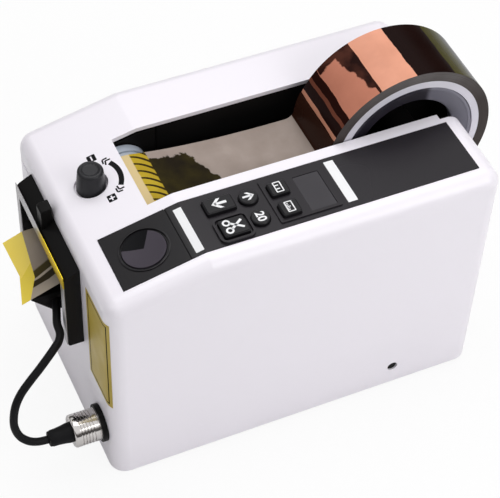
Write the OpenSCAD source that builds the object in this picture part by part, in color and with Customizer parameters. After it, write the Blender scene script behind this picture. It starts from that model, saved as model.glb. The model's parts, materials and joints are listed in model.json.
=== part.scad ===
// Electric tape dispenser: a desk machine that pulls tape off a roll, feeds it out and cuts it.
// The origin is the middle of the footprint on the table.
// X points to the control panel side, Y to the rear, Z up. All sizes are in millimetres.

/* [Housing] */
// Width of the housing
body_w = 137; // [134:1:146]
// Length of the housing
body_l = 217; // [212:1:230]
// Height of the housing above its feet
body_h = 145; // [143:1:160]
// Fall of the front part of the roof in degrees
front_slope = 12.9; // [11:0.1:14]
// Distance from the front face to the fold in the roof
fold_from_front = 55; // [52:1:58]
// How far the foot of the rear wall stands in from its top
rear_lean = 2.7; // [1:0.1:4]
// Rounding of the housing edges
edge_r = 9; // [7:0.5:11]
// Wall thickness of the housing
wall = 2.5; // [2:0.1:3]
// Thickness of the base plate
base_t = 4; // [3:0.5:6]

/* [Feet and screws] */
// Height of the rubber feet
foot_h = 2; // [1:0.5:4]
// Radius of the rubber feet
foot_r = 7; // [5:0.5:9]
// Distance from the sides to the middle of a foot
foot_inset = 18; // [16:1:24]
// Radius of a side screw head
screw_head_r = 2.9; // [2.4:0.1:3.4]
// Distance from the middle of the body to the side screws
screw_y = 56; // [45:1:65]
// Height of the side screws above the housing foot
screw_rise = 13.4; // [11:0.2:16]

/* [Tape well] */
// Width of the well
well_w = 50; // [50:1:54]
// Distance from the front face to the front edge of the well
well_from_front = 41.5; // [40:0.5:43]
// Gap between the roll and the floor of the well
roll_clear = 1.7; // [1.5:0.1:4]
// Thickness of the well side walls
well_wall = 5; // [5:0.5:6]
// Depth of the axle slots in the side walls
slot_depth = 3.7; // [3:0.1:3.9]
// Angle of the axle slots to the table
slot_rise = 40; // [38:1:45]

/* [Tape roll and reel] */
// Width of the tape
tape_w = 40; // [30:1:42]
// Outer radius of the tape roll
tape_r = 48.4; // [44:0.2:48.6]
// Outer radius of the paper core
core_r = 42.3; // [41:0.1:43]
// Inner radius of the paper core
core_bore_r = 38.1; // [37:0.1:39]
// Radius of the reel axle
axle_r = 3.5; // [3:0.1:4]
// Distance from the reel axis to the rear face
reel_from_rear = 27; // [26:0.5:29]
// Distance from the roof down to the reel axis
reel_drop = 16.9; // [16:0.1:17.5]
// Gap between the roll and the right wall of the well
roll_gap = 1; // [0.8:0.1:2]
// Thickness of the tape lead, drawn stout
film_t = 0.3; // [0.2:0.05:0.4]

/* [Feed] */
// Radius of the ribbed feed roller
roller_r = 14.8; // [14:0.1:15]
// Distance from the front face to the feed roller axis
roller_from_front = 44.9; // [44:0.1:46]
// Distance from the roof down to the feed roller axis
roller_drop = 23; // [22.5:0.1:24]
// Depth of the grooves between the ribs
groove_depth = 1; // [0.6:0.1:1.6]
// Number of ribs on the feed roller
rib_count = 9; // [7:1:12]
// Radius of the feed shaft
shaft_r = 4; // [3:0.5:4.5]
// Radius of the pressure roller
pinch_r = 5; // [4.5:0.1:5.5]
// Position of the pressure roller round the feed roller in degrees
nip_angle = 200; // [197:1:203]
// Tooth module of the feed gears
gear_module = 0.8; // [0.78:0.01:0.82]
// Width of the feed gears
gear_w = 4; // [3:0.5:4.5]
// Radius of the feed motor
motor_r = 12.5; // [11:0.5:12.5]
// Length of the feed motor
motor_len = 44; // [36:1:46]
// Thickness of the mechanism side plates
plate_t = 2; // [1.5:0.1:2.2]

/* [Cutter] */
// Drop of the tape from the roof to where it crosses the front face
exit_drop = 41.4; // [40:0.2:42]
// Length of tape that sticks out of the front
tail_len = 24.5; // [10:0.5:28]
// Travel of the moving blade
blade_travel = 7; // [6:0.2:7]
// Thickness of both blades
blade_t = 1.5; // [1:0.1:1.6]
// Smallest radius of the lifting cam
cam_r = 5.5; // [5:0.1:5.6]
// Radius of the cam shaft
cam_shaft_r = 3; // [2.5:0.1:3.5]
// Radius of the cutter motor
cutter_motor_r = 8; // [6:0.5:8.5]
// Length of the cutter motor
cutter_motor_len = 38; // [30:1:40]

/* [Guard] */
// How far the guard reaches to the left of the well
guard_left = 9.2; // [8.8:0.1:11]
// How far the guard reaches to the right of the well
guard_right = 13.3; // [12.5:0.1:15]
// How far the guard stands out in front of the housing
guard_out = 8.5; // [7:0.5:9]
// Height of the guard legs
guard_h = 56; // [56:1:60]
// Width of the guard legs
guard_leg = 5; // [4:0.5:5.5]
// Thickness of the steel rim on the front of the guard
rim_t = 0.6; // [0.4:0.1:1]

/* [Control panel] */
// Distance from the panel to the right side of the housing
panel_from_side = 9.6; // [9.5:0.1:12]
// Distance from the well to the panel
panel_gap = 7.2; // [7:0.1:7.6]
// Width of the panel
panel_w = 36; // [36:0.5:37]
// Distance from the front face to the panel
panel_from_front = 12; // [11:0.5:13]
// Distance from the rear face to the panel
panel_from_rear = 10.7; // [9:0.5:14]
// Height of the panel above the roof
panel_proud = 0.4; // [0.2:0.1:0.8]
// Height of the keys above the panel
key_h = 2.5; // [2:0.1:3]
// Travel of the keys
key_travel = 1; // [0.6:0.1:1.2]
// Radius of the round keys
round_key_r = 5; // [4.5:0.1:5.4]
// Radius of the round start key
start_key_r = 11.4; // [10:0.1:12]

/* [Pressure knob] */
// Distance from the left wall of the well to the knob axis
knob_from_well = 22; // [20:0.1:24]
// Distance from the front face to the knob axis
knob_from_front = 21.9; // [21:0.1:23]
// Radius of the knob at its foot
knob_r = 7.6; // [6.5:0.1:8]
// Radius of the knob at its top
knob_top_r = 6.7; // [6:0.1:7]
// Height of the knob top above the roof plane
knob_rise = 3.5; // [1:0.5:8]
// Radius of the recess round the knob
knob_cup_r = 8.8; // [8.4:0.1:9.2]

/* [Sensor connector] */
// Distance from the right side of the housing to the connector
plug_from_side = 17.5; // [17:0.5:19.5]
// Height of the connector above the table
plug_z = 28.5; // [27:0.5:30]
// Radius of the socket flange
flange_r = 10.5; // [10:0.1:11.5]
// Radius of the metal plug shell
plug_r = 9; // [8.5:0.1:9.8]
// Length of the metal plug shell
plug_len = 14.5; // [12:0.5:16]
// Radius of the sensor cable
cable_r = 2.2; // [2:0.1:2.4]

/* [Rear] */
// Distance from the right side of the housing to the power switch
switch_from_side = 23.5; // [21.5:0.5:26]
// Height of the power switch above the table
switch_z = 52; // [48:1:56]
// Height of the power socket above the table
inlet_z = 24; // [20:1:28]

/* [Clearances] */
// Gap between pieces that move past each other
run_gap = 0.3; // [0.25:0.05:0.4]
// Radial gap of a shaft in its bearing
fit_gap = 0.05; // [0.03:0.01:0.08]
// Gap between fixed pieces that are set into each other
seat_gap = 0.1; // [0.05:0.05:0.2]

/* [Hidden] */
$fn = 48;
// Small overlap that joins touching forms, reach of cutting forms, and their spill past a surface
eps = 0.01;
over = 40;
cut = 1;

// Main planes of the housing
z_bot = foot_h;
z_top = foot_h + body_h;
y_front = -body_l / 2;
y_rear = body_l / 2;
fold_y = y_front + fold_from_front;
x_side = body_w / 2;
z_floor = z_bot + base_t;
roof_wall = wall / cos(front_slope);
ball_facets = 32;
ball_grow = 1 / cos(180 / ball_facets);
foot_ring = 1;
lean_top = z_top - edge_r * (1 + tan(180 / ball_facets));
lean_angle = atan(rear_lean / (lean_top - z_bot));

// Screws at the sides and the ears of the base plate that take them
thread_r = 1.5;
head_sunk = 1;
ear_t = 5;
ear_w = 12;
screw_c = [screw_y, z_bot + screw_rise];

// Tape well and reel
panel_x1 = x_side - panel_from_side;
panel_x0 = panel_x1 - panel_w;
x_r = panel_x0 - panel_gap;
x_l = x_r - well_w;
y_well = y_front + well_from_front;
z_well = z_top - reel_drop - tape_r - roll_clear;
well_floor_t = 3;
well_front_t = 2;
liner_gap = 0.5;
tape_gate_drop = 22;
liner_bevel = edge_r - wall + 0.5;
reel_y = y_rear - reel_from_rear;
reel_z = z_top - reel_drop;
reel_c = [reel_y, reel_z];
roll_x1 = x_r - roll_gap;
roll_x0 = roll_x1 - tape_w;
roll_facets = 128;
hub_rim_t = 4;
hub_disc_t = 3;
hub_boss_r = 10;
hub_side = 2.5;
hub_lip = 2.5;
hub_short = 0.5;
hub_disc_in = 4;
hub_hole_r = 8.5;
hub_hole_at = 22;
hub_holes = 6;

// Feed mechanism, in the Y and Z of a cut along the machine
roller_y = y_front + roller_from_front;
roller_z = z_top - roller_drop;
roller_c = [roller_y, roller_z];
film_off = run_gap + film_t / 2;
nip_span = roller_r + pinch_r + 2 * film_off;
pinch_c = roller_c + nip_span * [cos(nip_angle), sin(nip_angle)];
yoke_offset = [-1, 13];
yoke_c = pinch_c + yoke_offset;
yoke_arm_t = 1.5;
yoke_gap = 0.7;
yoke_plate_t = 1.5;
yoke_boss_r = 3;
yoke_pin_r = 1.5;
yoke_fore = 11;
yoke_aft = 2;
yoke_over_roller = 1;
yoke_plate_y0 = pinch_c[0] - yoke_fore;
yoke_plate_y1 = pinch_c[0] + yoke_aft;
yoke_plate_z = pinch_c[1] + pinch_r + yoke_over_roller;
gear_teeth = 36;
gear_gap = 0.8;
gear_pitch_r = gear_teeth * gear_module / 2;
motor_c = [roller_y, roller_z - 2 * gear_pitch_r];
gear_x = x_r + plate_t + gear_gap;
roller_end_gap = 0.7;
bush_r = shaft_r + 2;
bush_lip = 0.4;
shaft_end = 1.5;
shaft_past_gear = 0.5;
groove_w = 1.5;
motor_step = 0.42;
motor_can_step = 0.8;
motor_tip_r = 3;
motor_tip = 2;
motor_bore = 6;
motor_shaft_in = 5;

// Cutter
exit_out = 3.5;
exit_fall = 0.2;
exit_p = [y_front - exit_out, z_top - exit_drop];
pinch_to_exit = exit_p - pinch_c;
exit_angle = atan2(pinch_to_exit[1], pinch_to_exit[0])
    + acos((pinch_r + film_off) / norm(pinch_to_exit));
cut_from_front = 5.4;
cut_y = y_front + cut_from_front;
blade_gap = 0.2;
film_at_cut = exit_p[1] + (cut_y - exit_p[0]) * exit_fall;
blade_rest_gap = 2.4;
blade_slant = 2;
blade_over_carrier = 5.5;
blade_foot = 4;
blade_side = 1;
blade_bevel = 2;
blade_wide = well_w + 2 * blade_side;
fixed_edge_gap = 1.6;
fixed_blade_h = 10;
fixed_bevel = 1.5;
bar_foot = 3.5;
bar_head = 4;
carrier_d = 9;
carrier_h = 15.5;
carrier_side = 2;
carrier_top = film_at_cut - blade_rest_gap - blade_over_carrier;
carrier_y0 = cut_y + blade_t + blade_gap / 2;
carrier_y1 = carrier_y0 + carrier_d;
carrier_mid = (carrier_y0 + carrier_y1) / 2;
carrier_bot = carrier_top - carrier_h;
ledge_d = 8;
ledge_h = 4;
tongue_w = 4;
tongue_end = 0.5;
tongue_z0 = carrier_bot + 2;
tongue_z1 = carrier_top - 1.5;
cam_gap = 0.5;
cam_z = carrier_bot - cam_r - cam_gap;
cam_w = 8;
cam_shaft_end = 1;
cam_x = (x_l + x_r) / 2 - cam_w / 2;
plate_behind = 21;
plate_gap = 0.5;
plate_under_roof = 1.5;
plate_bevel = 5;
plate_foot_w = 9;
plate_foot_in = 8;
plate_back = roller_y + plate_behind;
plate_front = y_front + wall + plate_gap;
spacer_r = 2.5;
spacer_in = 6;
spacer_low = 24;
spacer_high = 20;
rod_under_cam = 6;
spring_y = carrier_y1 + ledge_d / 2;
spring_side = 9;
spring_rod_z = cam_z - cam_r - blade_travel - rod_under_cam;
spacers = [[spring_y, spring_rod_z], [plate_back - spacer_in, z_floor + spacer_low],
    [plate_back - spacer_in, z_well + spacer_high]];
chute_t = 1.5;
chute_under = 1;
chute_gap = 1;

// Guard
guard_x0 = x_l - guard_left;
guard_x1 = x_r + guard_right;
guard_y = y_front - guard_out;
guard_drop = 20.5;
guard_z1 = z_top - guard_drop;
guard_z0 = guard_z1 - guard_h;
guard_brow = 5.5;
guard_bar = 10;
guard_toe = 0.8;
brow_round = 1.5;
window_in = 2.5;
window_sill = 2;
window_x0 = guard_x0 + window_in;
window_x1 = guard_x1 - window_in;
window_z0 = guard_z0 + window_sill;
window_z1 = guard_z1 - window_in;
rim_in = 0.4;
seam_len = 17;
seam_w = 1.2;
seam_drop = 6;
latch_left = 1.9;
latch_w = 7;
latch_d = 6.2;
latch_in = 1;
latch_h = 9.8;
latch_round = 1;
member_t = 1.3;
member_gap = 0.7;
member_half_h = 7;

// Panel
panel_y0 = y_front + panel_from_front;
panel_y1 = y_rear - panel_from_rear;
panel_flange = 1.2;
panel_flange_t = 1.5;
groove_y = fold_y - 8;
panel_groove_w = 0.8;
panel_groove_d = 0.6;
post_r = 2;
post_in = 3;
post_rear = 30;
panel_down = wall + seat_gap + panel_flange_t;
panel_z = z_top + panel_proud;
bezel_h = 0.8;
board_drop = 18;
board_t = 1.6;
board_z = z_top - board_drop;
board_side = 1;
board_front = 4;
board_rear = 26;
switch_h = 3.5;
switch_w = 6;
stem_r = 2;
stem_end = board_z + board_t + switch_h + key_travel + run_gap;
key_flange = 0.8;
key_flange_t = 1;
key_bevel = 0.5;
bezel_round = 1;
glass_depth = 1.2;
glass_sunk = 0.3;
glass_round = 0.5;

// Places of the rectangular keys: left, right, front, rear, measured from the panel corner and the fold
reverse_box = [panel_x0 + 5.6, panel_x0 + 15.5, fold_y + 9.8, fold_y + 25.5];
cut_box = [panel_x0 + 21.3, panel_x0 + 32.8, fold_y + 12, fold_y + 25.5];
long_box = [panel_x0 + 7.7, panel_x0 + 16.6, fold_y + 44.2, fold_y + 54.2];
short_box = [panel_x0 + 22, panel_x0 + 31, fold_y + 44, fold_y + 54.1];
bezel_box = [panel_x0 + 2.8, panel_x0 + 33.2, fold_y + 41.8, fold_y + 75.6];
display_box = [panel_x0 + 6.9, panel_x0 + 31.4, fold_y + 59.2, fold_y + 73.4];
forward_at = [panel_x0 + 11.2, fold_y + 33.3];
preset_at = [panel_x0 + 26.2, fold_y + 33.4];
start_at = [panel_x0 + 18, fold_y - 25.2];
cut_frame_gap = 1.4;
cut_frame_w = 1.2;
cut_frame_h = 1.4;
key_round_r = 1;
start_ring = 1.8;
start_h = 0.6;
start_low = 1.5;
start_stem = 3.3;
start_dish_r = 60;
key_colour = [0.2, 0.19, 0.21];

// Knob
knob_x = x_l + knob_from_well;
knob_y = y_front + knob_from_front;
knob_top = z_top + knob_rise;
cup_depth = 11;
cup_floor = z_top - cup_depth;
cup_floor_t = 1.6;
cup_wall = 1.5;
knob_foot_h = 4;
knob_edge = 1;
knob_rim_w = 2;
knob_dish = 0.8;
knob_dish_slope = 0.6;
knob_cap = 4;
screw_r = 2;
screw_foot = 2;
nut_r = 4.2;
nut_t = 3;
nut_gap = 2;
nut_top = cup_floor - cup_floor_t - nut_gap;
spring_foot = yoke_plate_z + yoke_plate_t + run_gap;
spring_head = nut_top - nut_t - run_gap;

// Connector, and its cable in the air in front of the machine, from the boot to the sensor
flange_t = 3;
socket_r = flange_r - 2.6;
socket_len = 12;
socket_nut_t = 3;
socket_nut_w = 0.6;
shell_cone = 1.2;
shell_edge = 0.2;
shell_neck = 1;
boot_len = 12.5;
boot_r = 5.5;
boot_taper = 1.4;
plug_x = x_side - plug_from_side;
plug_y0 = y_front - flange_t;
boot_y0 = plug_y0 - plug_len;
boot_y1 = boot_y0 - boot_len;
sensor_left = 15.7;
sensor_out = 5.5;
sensor_drop = 39.5;
cable_start = [plug_x, boot_y1, plug_z];
cable_end = [x_r - sensor_left, y_front - sensor_out, guard_z1 - sensor_drop];
near_plug = [[0, 0, 0], [-0.2, -5.7, 0.8], [-0.8, -10.5, 3.2], [-2.2, -14.4, 7.5], [-3.4, -16.3, 14],
    [-4.5, -16.1, 20.5], [-6.2, -14, 28], [-8.4, -9.9, 33.8], [-10.5, -4, 39], [-12.5, 2, 43.5]];
near_sensor = [[36, -16, -10], [33.5, -11.8, -7.9], [31, -8.8, -7.1], [27.5, -6.8, -5.5], [23, -6.6, -2.7],
    [17.5, -4.8, -1.4], [12, -3, -0.5], [6, -0.6, 0], [0, 0, 0]];
cable_route = concat([for (p = near_plug) cable_start + p], [for (p = near_sensor) cable_end + p]);
cable_side = [1, 0.6, 0];
cable_steps = 3;
cable_sides = 10;
sensor_l = 12;
sensor_d = 7;
sensor_h = 11;
sensor_back = y_front - member_gap - member_t;

// Power socket and switch
switch_x = x_side - switch_from_side;
inlet_r = 5.5;
inlet_lip = 2;
inlet_len = 12;
inlet_bore_r = 3.2;
inlet_bore = 9;
fitting_t = 1.5;
switch_half_w = 6.5;
switch_half_h = 9.5;
switch_wall = 1.5;
switch_lip = 1.5;
switch_len = 14;
switch_bore = 11;
rocker_r = 20;
rocker_tilt = 8;
rocker_in = 5;
rocker_out = 3.2;
rocker_dip = 1.6;
rocker_end_gap = 0.9;
rocker_half_w = switch_half_w - switch_wall - run_gap;
rocker_half_h = switch_half_h - switch_wall - rocker_end_gap;

// Height of the roof outside at a distance along the body
function roof(y) = y < fold_y ? z_top - tan(front_slope) * (fold_y - y) : z_top;

// Outside of the leaning rear wall at a height
function rear_at(z) = y_rear - rear_lean * (lean_top - z) / (lean_top - z_bot);

// Front end of the axle slots at the roof
function slot_mouth() = reel_y + reel_drop / tan(slot_rise) - (axle_r + fit_gap) / sin(slot_rise);

// Points of a plane arc
function arc(c, r, a0, a1, n) = [for (i = [0:n]) let (a = a0 + (a1 - a0) * i / n) c + r * [cos(a), sin(a)]];

// Inner points of a plane curve with one control point
function curve(p0, p1, p2, n) =
    [for (i = [1:n - 1]) let (t = i / n) (1 - t) * (1 - t) * p0 + 2 * t * (1 - t) * p1 + t * t * p2];

// Both sides of a band of even thickness along a plane path
function path_dir(p, i) =
    let (a = p[max(i - 1, 0)], b = p[min(i + 1, len(p) - 1)]) (b - a) / norm(b - a);
function band_side(p, d) = [for (i = [0:len(p) - 1]) let (t = path_dir(p, i)) p[i] + d * [-t[1], t[0]]];
function reversed(p) = [for (i = [len(p) - 1:-1:0]) p[i]];
function band(p, t) = concat(band_side(p, t / 2), reversed(band_side(p, -t / 2)));

// Smooth route through points in space
function blend(a, b, c, d, t) =
    0.5 * ((2 * b) + (c - a) * t + (2 * a - 5 * b + 4 * c - d) * t * t
        + (3 * b - a - 3 * c + d) * t * t * t);
function smooth_route(p, n) = let (last = len(p) - 1) concat(
    [for (i = [0:last - 1], k = [0:n - 1])
        blend(p[max(i - 1, 0)], p[i], p[i + 1], p[min(i + 2, last)], k / n)], [p[last]]);

// Round tube along points in space; side is a direction that the route never follows
function unit(v) = v / norm(v);
function tube_points(p, r, sides, side) = [
    for (i = [0:len(p) - 1])
        let (t = unit(p[min(i + 1, len(p) - 1)] - p[max(i - 1, 0)]))
        let (u = unit(cross(t, side)))
        let (v = cross(t, u))
        for (k = [0:sides - 1]) p[i] + r * (cos(360 * k / sides) * u + sin(360 * k / sides) * v)];
function tube_faces(rings, sides) = concat(
    [[for (k = [0:sides - 1]) k]],
    [for (i = [0:rings - 2], k = [0:sides - 1])
        [i * sides + k, (i + 1) * sides + k, i * sides + (k + 1) % sides]],
    [for (i = [0:rings - 2], k = [0:sides - 1])
        [i * sides + (k + 1) % sides, (i + 1) * sides + k, (i + 1) * sides + (k + 1) % sides]],
    [[for (k = [sides - 1:-1:0]) (rings - 1) * sides + k]]);
module tube(p, r, sides, side) {
    polyhedron(points = tube_points(p, r, sides, side), faces = tube_faces(len(p), sides));
}

// Helix of a coil spring standing on z0 and ending at z1, outer sizes
coil_rings = 8;
coil_sides = 6;
function helix(r, z0, z1, turns, wire) = [for (i = [0:turns * coil_rings])
    let (a = 360 * i / coil_rings)
    [r * cos(a), r * sin(a), z0 + wire + (z1 - z0 - 2 * wire) * i / (turns * coil_rings)]];
function coil_gap(p, wire) = min([for (i = [0:len(p) - 1])
    for (j = [i + coil_rings / 2:len(p) - 1]) norm(p[i] - p[j])]) - 2 * wire;

// Toothed outline of a gear with rounded-off flanks of true involute form
pressure_angle = 20;
tooth_addendum = 0.8;
tooth_dedendum = 1.15;
tooth_slack = 0.14;
flank_steps = 4;
function roll_off(a) = tan(a) * 180 / PI - a;
function flank_angle(r, base) = roll_off(acos(min(1, base / r)));
function gear_outline(n, m) =
    let (rp = n * m / 2)
    let (base = rp * cos(pressure_angle))
    let (root = rp - tooth_dedendum * m)
    let (tip = rp + tooth_addendum * m)
    let (half = 90 / n - tooth_slack / 2 / rp * 180 / PI + roll_off(pressure_angle))
    let (radii = concat([root], [for (k = [0:flank_steps]) base + (tip - base) * k / flank_steps]))
    [for (i = [0:n - 1]) for (k = [0:2 * flank_steps + 3])
        let (up = k <= flank_steps + 1)
        let (r = radii[up ? k : 2 * flank_steps + 3 - k])
        let (a = 360 * i / n + (up ? -1 : 1) * (half - flank_angle(max(r, base), base)))
        r * [cos(a), sin(a)]];

// Route of the tape in Y and Z: off the roll, over the feed roller, under the pressure roller, out
peel_from = 158;
peel_angle = 173;
peel_r = 5;
web_entry = 78;
arc_gap = 5;
peel_c = reel_c + (tape_r + film_off + peel_r) * [cos(peel_angle), sin(peel_angle)];
web_start = peel_c + [0, -peel_r];
web_end = roller_c + (roller_r + film_off) * [cos(web_entry), sin(web_entry)];
web_bend = [web_end[0] + (web_end[1] - web_start[1]) * tan(web_entry), web_start[1]];
tail_crease = [-12.5, -4];
tail_fall = 0.212;
tail_mid = exit_p + tail_crease;
tail_end = exit_p + [exit_out - tail_len, -tail_fall * tail_len];
film_path = concat(
    arc(reel_c, tape_r + film_off, peel_from, peel_angle, 4),
    arc(peel_c, peel_r, peel_angle - 180 - arc_gap, -90, 6),
    curve(web_start, web_bend, web_end, 10),
    arc(roller_c, roller_r + film_off, web_entry, nip_angle, 20),
    arc(pinch_c, pinch_r + film_off, nip_angle - 180 - arc_gap, exit_angle, 10),
    [exit_p, tail_mid, tail_end]);

// Round rod along X
module rod_x(c, r, x0, x1) {
    translate([x0, c[0], c[1]]) rotate([0, 90, 0]) cylinder(r = r, h = x1 - x0);
}

// Outline in Y and Z drawn out along X
module along_x(x0, x1) {
    translate([x0, 0, 0]) rotate([90, 0, 90]) linear_extrude(x1 - x0) children();
}

// Round rod along Y
module rod_y(x, z, r, y0, y1) {
    translate([x, y1, z]) rotate([90, 0, 0]) cylinder(r = r, h = y1 - y0);
}

module box(x0, x1, y0, y1, z0, z1) {
    translate([x0, y0, z0]) cube([x1 - x0, y1 - y0, z1 - z0]);
}

// Rectangle with round corners between two corners
module round_rect(x0, x1, y0, y1, r) {
    translate([x0 + r, y0]) square([x1 - x0 - 2 * r, y1 - y0]);
    translate([x0, y0 + r]) square([x1 - x0, y1 - y0 - 2 * r]);
    for (x = [x0 + r, x1 - r], y = [y0 + r, y1 - r]) translate([x, y]) circle(r);
}

module round_box(b, r, z0, z1, grow = 0) {
    translate([0, 0, z0]) linear_extrude(z1 - z0)
        round_rect(b[0] - grow, b[1] + grow, b[2] - grow, b[3] + grow, r + grow);
}

// Places its children on the sloping front of the roof, with Z square to it
module on_slope(at) {
    translate([at[0], at[1], roof(at[1])]) rotate([front_slope, 0, 0]) children();
}

// Places its children on the rear wall, with Y pointing out of it
module on_rear(x, z) {
    translate([x, rear_at(z), z]) rotate([-lean_angle, 0, 0]) children();
}

// Rounded body, set in by a wall
module body_form(inset, foot) {
    r = edge_r - inset;
    yf = y_front + edge_r;
    yb = fold_y + edge_r * tan(front_slope / 2);
    hull() {
        for (s = [-1, 1]) translate([s * (x_side - edge_r), 0, 0]) {
            translate([0, yf, roof(yf) - edge_r / cos(front_slope)]) sphere(r * ball_grow, $fn = ball_facets);
            translate([0, yb, z_top - edge_r]) sphere(r * ball_grow, $fn = ball_facets);
            translate([0, y_rear - edge_r, z_top - edge_r]) sphere(r * ball_grow, $fn = ball_facets);
            for (y = [yf, y_rear - rear_lean - edge_r])
                translate([0, y, foot]) cylinder(r = r, h = foot_ring, $fn = ball_facets);
        }
    }
}

// Strip that follows the roof between two distances along the body
module roof_strip(y0, y1, up, down) {
    polygon([[y0, roof(y0) + up], [fold_y, z_top + up], [y1, z_top + up],
        [y1, z_top - down], [fold_y, z_top - down], [y0, roof(y0) - down]]);
}

module knob_cup_solid() {
    intersection() {
        body_form(0, z_bot);
        translate([knob_x, knob_y, cup_floor - cup_floor_t]) cylinder(r = knob_cup_r + cup_wall, h = over);
    }
}

module upper_housing() color("whitesmoke") difference() {
    union() {
        difference() {
            body_form(0, z_bot);
            body_form(wall, z_bot - 2 * foot_ring);
        }
        knob_cup_solid();
    }
    // Tape well with its wider rear end
    box(x_l, x_r, y_well, y_rear + over, z_well, z_top + over);
    box(x_l - slot_depth, x_r + slot_depth, slot_mouth(), y_rear + over, z_well, z_top + over);
    // Control panel
    along_x(panel_x0 - seat_gap, panel_x1 + seat_gap)
        roof_strip(panel_y0 - seat_gap, panel_y1 + seat_gap, over, 2 * wall);
    // Pressure knob
    translate([knob_x, knob_y, cup_floor]) cylinder(r = knob_cup_r, h = over);
    translate([knob_x, knob_y, cup_floor - over / 2]) cylinder(r = screw_r + fit_gap, h = over);
    // Cutter window and the seam beside it
    box(window_x0, window_x1, y_front - over, y_front + 2 * wall, window_z0, window_z1);
    box(window_x0 - seam_len, window_x0 + eps, y_front - over, y_front + seam_w,
        guard_z1 - seam_drop, guard_z1 - seam_drop + seam_w);
    // Connector, side screws and rear fittings
    rod_y(plug_x, plug_z, socket_r + seat_gap, y_front - over, y_front + 2 * wall);
    rod_x(screw_c, screw_head_r + seat_gap, x_side - 2 * wall, x_side + over);
    rod_x(screw_c, screw_head_r + seat_gap, -x_side - over, -x_side + 2 * wall);
    on_rear(switch_x, switch_z) box(-switch_half_w - seat_gap, switch_half_w + seat_gap, -over / 2, over,
        -switch_half_h - seat_gap, switch_half_h + seat_gap);
    on_rear(switch_x, inlet_z) rod_y(0, 0, inlet_r + seat_gap, -over / 2, over);
}

module base_plate() color("dimgray") difference() {
    side = x_side - wall - seat_gap;
    union() {
        translate([0, 0, z_bot]) linear_extrude(base_t)
            round_rect(-side, side, y_front + wall + seat_gap,
                y_rear - rear_lean - wall - seat_gap, edge_r - wall - seat_gap);
        for (x = [-side, side - ear_t]) box(x, x + ear_t, screw_y - ear_w / 2, screw_y + ear_w / 2,
            z_floor - eps, screw_c[1] + ear_w / 2);
    }
    rod_x(screw_c, thread_r, -x_side, -side + ear_t + cut);
    rod_x(screw_c, thread_r, side - ear_t - cut, x_side);
}

module rubber_feet() color("black")
    for (x = [-1, 1], y = [-1, 1])
        translate([x * (x_side - foot_inset), y * (y_rear - foot_inset), 0]) cylinder(r = foot_r, h = foot_h);

module case_screws() color("black")
    for (s = [-1, 1]) scale([s, 1, 1]) {
        rod_x(screw_c, screw_head_r, x_side - wall - seat_gap, x_side - head_sunk);
        rod_x(screw_c, thread_r, x_side - wall - ear_t, x_side - wall);
    }

// Slot for one end of the reel axle, running up to the rear
module axle_slot(x0, x1) {
    rod_x(reel_c, axle_r + fit_gap, x0, x1);
    translate([x0, reel_y, reel_z]) rotate([slot_rise, 0, 0])
        translate([0, 0, -axle_r - fit_gap]) cube([x1 - x0, over * 2, 2 * (axle_r + fit_gap)]);
}

module well_liner() color("black") {
    y0 = plate_back + liner_gap;
    y1 = rear_at(z_well) - wall - liner_gap;
    z0 = z_well - well_floor_t;
    z1 = z_top - wall;
    difference() {
        along_x(x_l - well_wall, x_r + well_wall) polygon([[y0, z0], [y1, z0], [y1, z1 - liner_bevel],
            [y1 - liner_bevel, z1], [y0, z1]]);
        box(x_l, x_r, y0 + well_front_t, y1 + over, z_well, z1 + over);
        box(x_l, x_r, y0 - over, y0 + over, reel_z - tape_gate_drop, z1 + over);
        axle_slot(x_l - slot_depth, x_l + eps);
        axle_slot(x_r - eps, x_r + slot_depth);
    }
}

module control_panel() color([0.16, 0.15, 0.17]) {
    difference() {
        union() {
            along_x(panel_x0, panel_x1) roof_strip(panel_y0, panel_y1, panel_proud, panel_down);
            along_x(panel_x0 - panel_flange, panel_x1 + panel_flange) difference() {
                roof_strip(panel_y0 - panel_flange, panel_y1 + panel_flange, 0,
                    panel_down + roof_wall - wall);
                roof_strip(panel_y0 - over, panel_y1 + over, over, roof_wall + seat_gap);
            }
            round_box(bezel_box, bezel_round, panel_z - eps, panel_z + bezel_h);
            round_box(cut_box, key_round_r, panel_z - eps, panel_z + cut_frame_h,
                cut_frame_gap + cut_frame_w);
            for (x = [panel_x0 + post_in, panel_x1 - post_in], y = [fold_y + post_in, panel_y1 - post_rear])
                translate([x, y, board_z + board_t]) cylinder(r = post_r, h = board_drop - board_t - wall);
        }
        round_box(cut_box, key_round_r, panel_z, panel_z + over, cut_frame_gap);
        for (b = [reverse_box, cut_box, long_box, short_box]) key_hole(b);
        round_box(display_box, glass_round, panel_z + bezel_h - glass_depth, panel_z + over);
        for (c = [forward_at, preset_at]) translate([c[0], c[1], z_top - over / 2])
            cylinder(r = round_key_r + run_gap, h = over);
        on_slope(start_at) {
            cylinder(r = start_key_r + start_ring, h = over);
            translate([0, 0, -over / 2]) cylinder(r = start_key_r + run_gap, h = over);
        }
        box(panel_x0 - cut, panel_x1 + cut, groove_y, groove_y + panel_groove_w,
            roof(groove_y) + panel_proud - panel_groove_d, z_top + over);
    }
}

module key_hole(b) {
    round_box(b, key_round_r, z_top - over / 2, z_top + over, run_gap);
}

module display_window() color([0.25, 0.24, 0.27])
    round_box(display_box, glass_round, panel_z + bezel_h - glass_depth, panel_z + bezel_h - glass_sunk,
        -seat_gap);

module circuit_board() color("darkgreen") {
    box(panel_x0 + board_side, panel_x1 - board_side, panel_y0 + board_front, panel_y1 - board_rear,
        board_z, board_z + board_t);
    for (c = key_centres()) box(c[0] - switch_w / 2, c[0] + switch_w / 2, c[1] - switch_w / 2,
        c[1] + switch_w / 2, board_z + board_t - eps, board_z + board_t + switch_h);
}
function mid(b) = [(b[0] + b[1]) / 2, (b[2] + b[3]) / 2];
function key_centres() =
    [mid(reverse_box), mid(cut_box), mid(long_box), mid(short_box), forward_at, preset_at];

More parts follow.
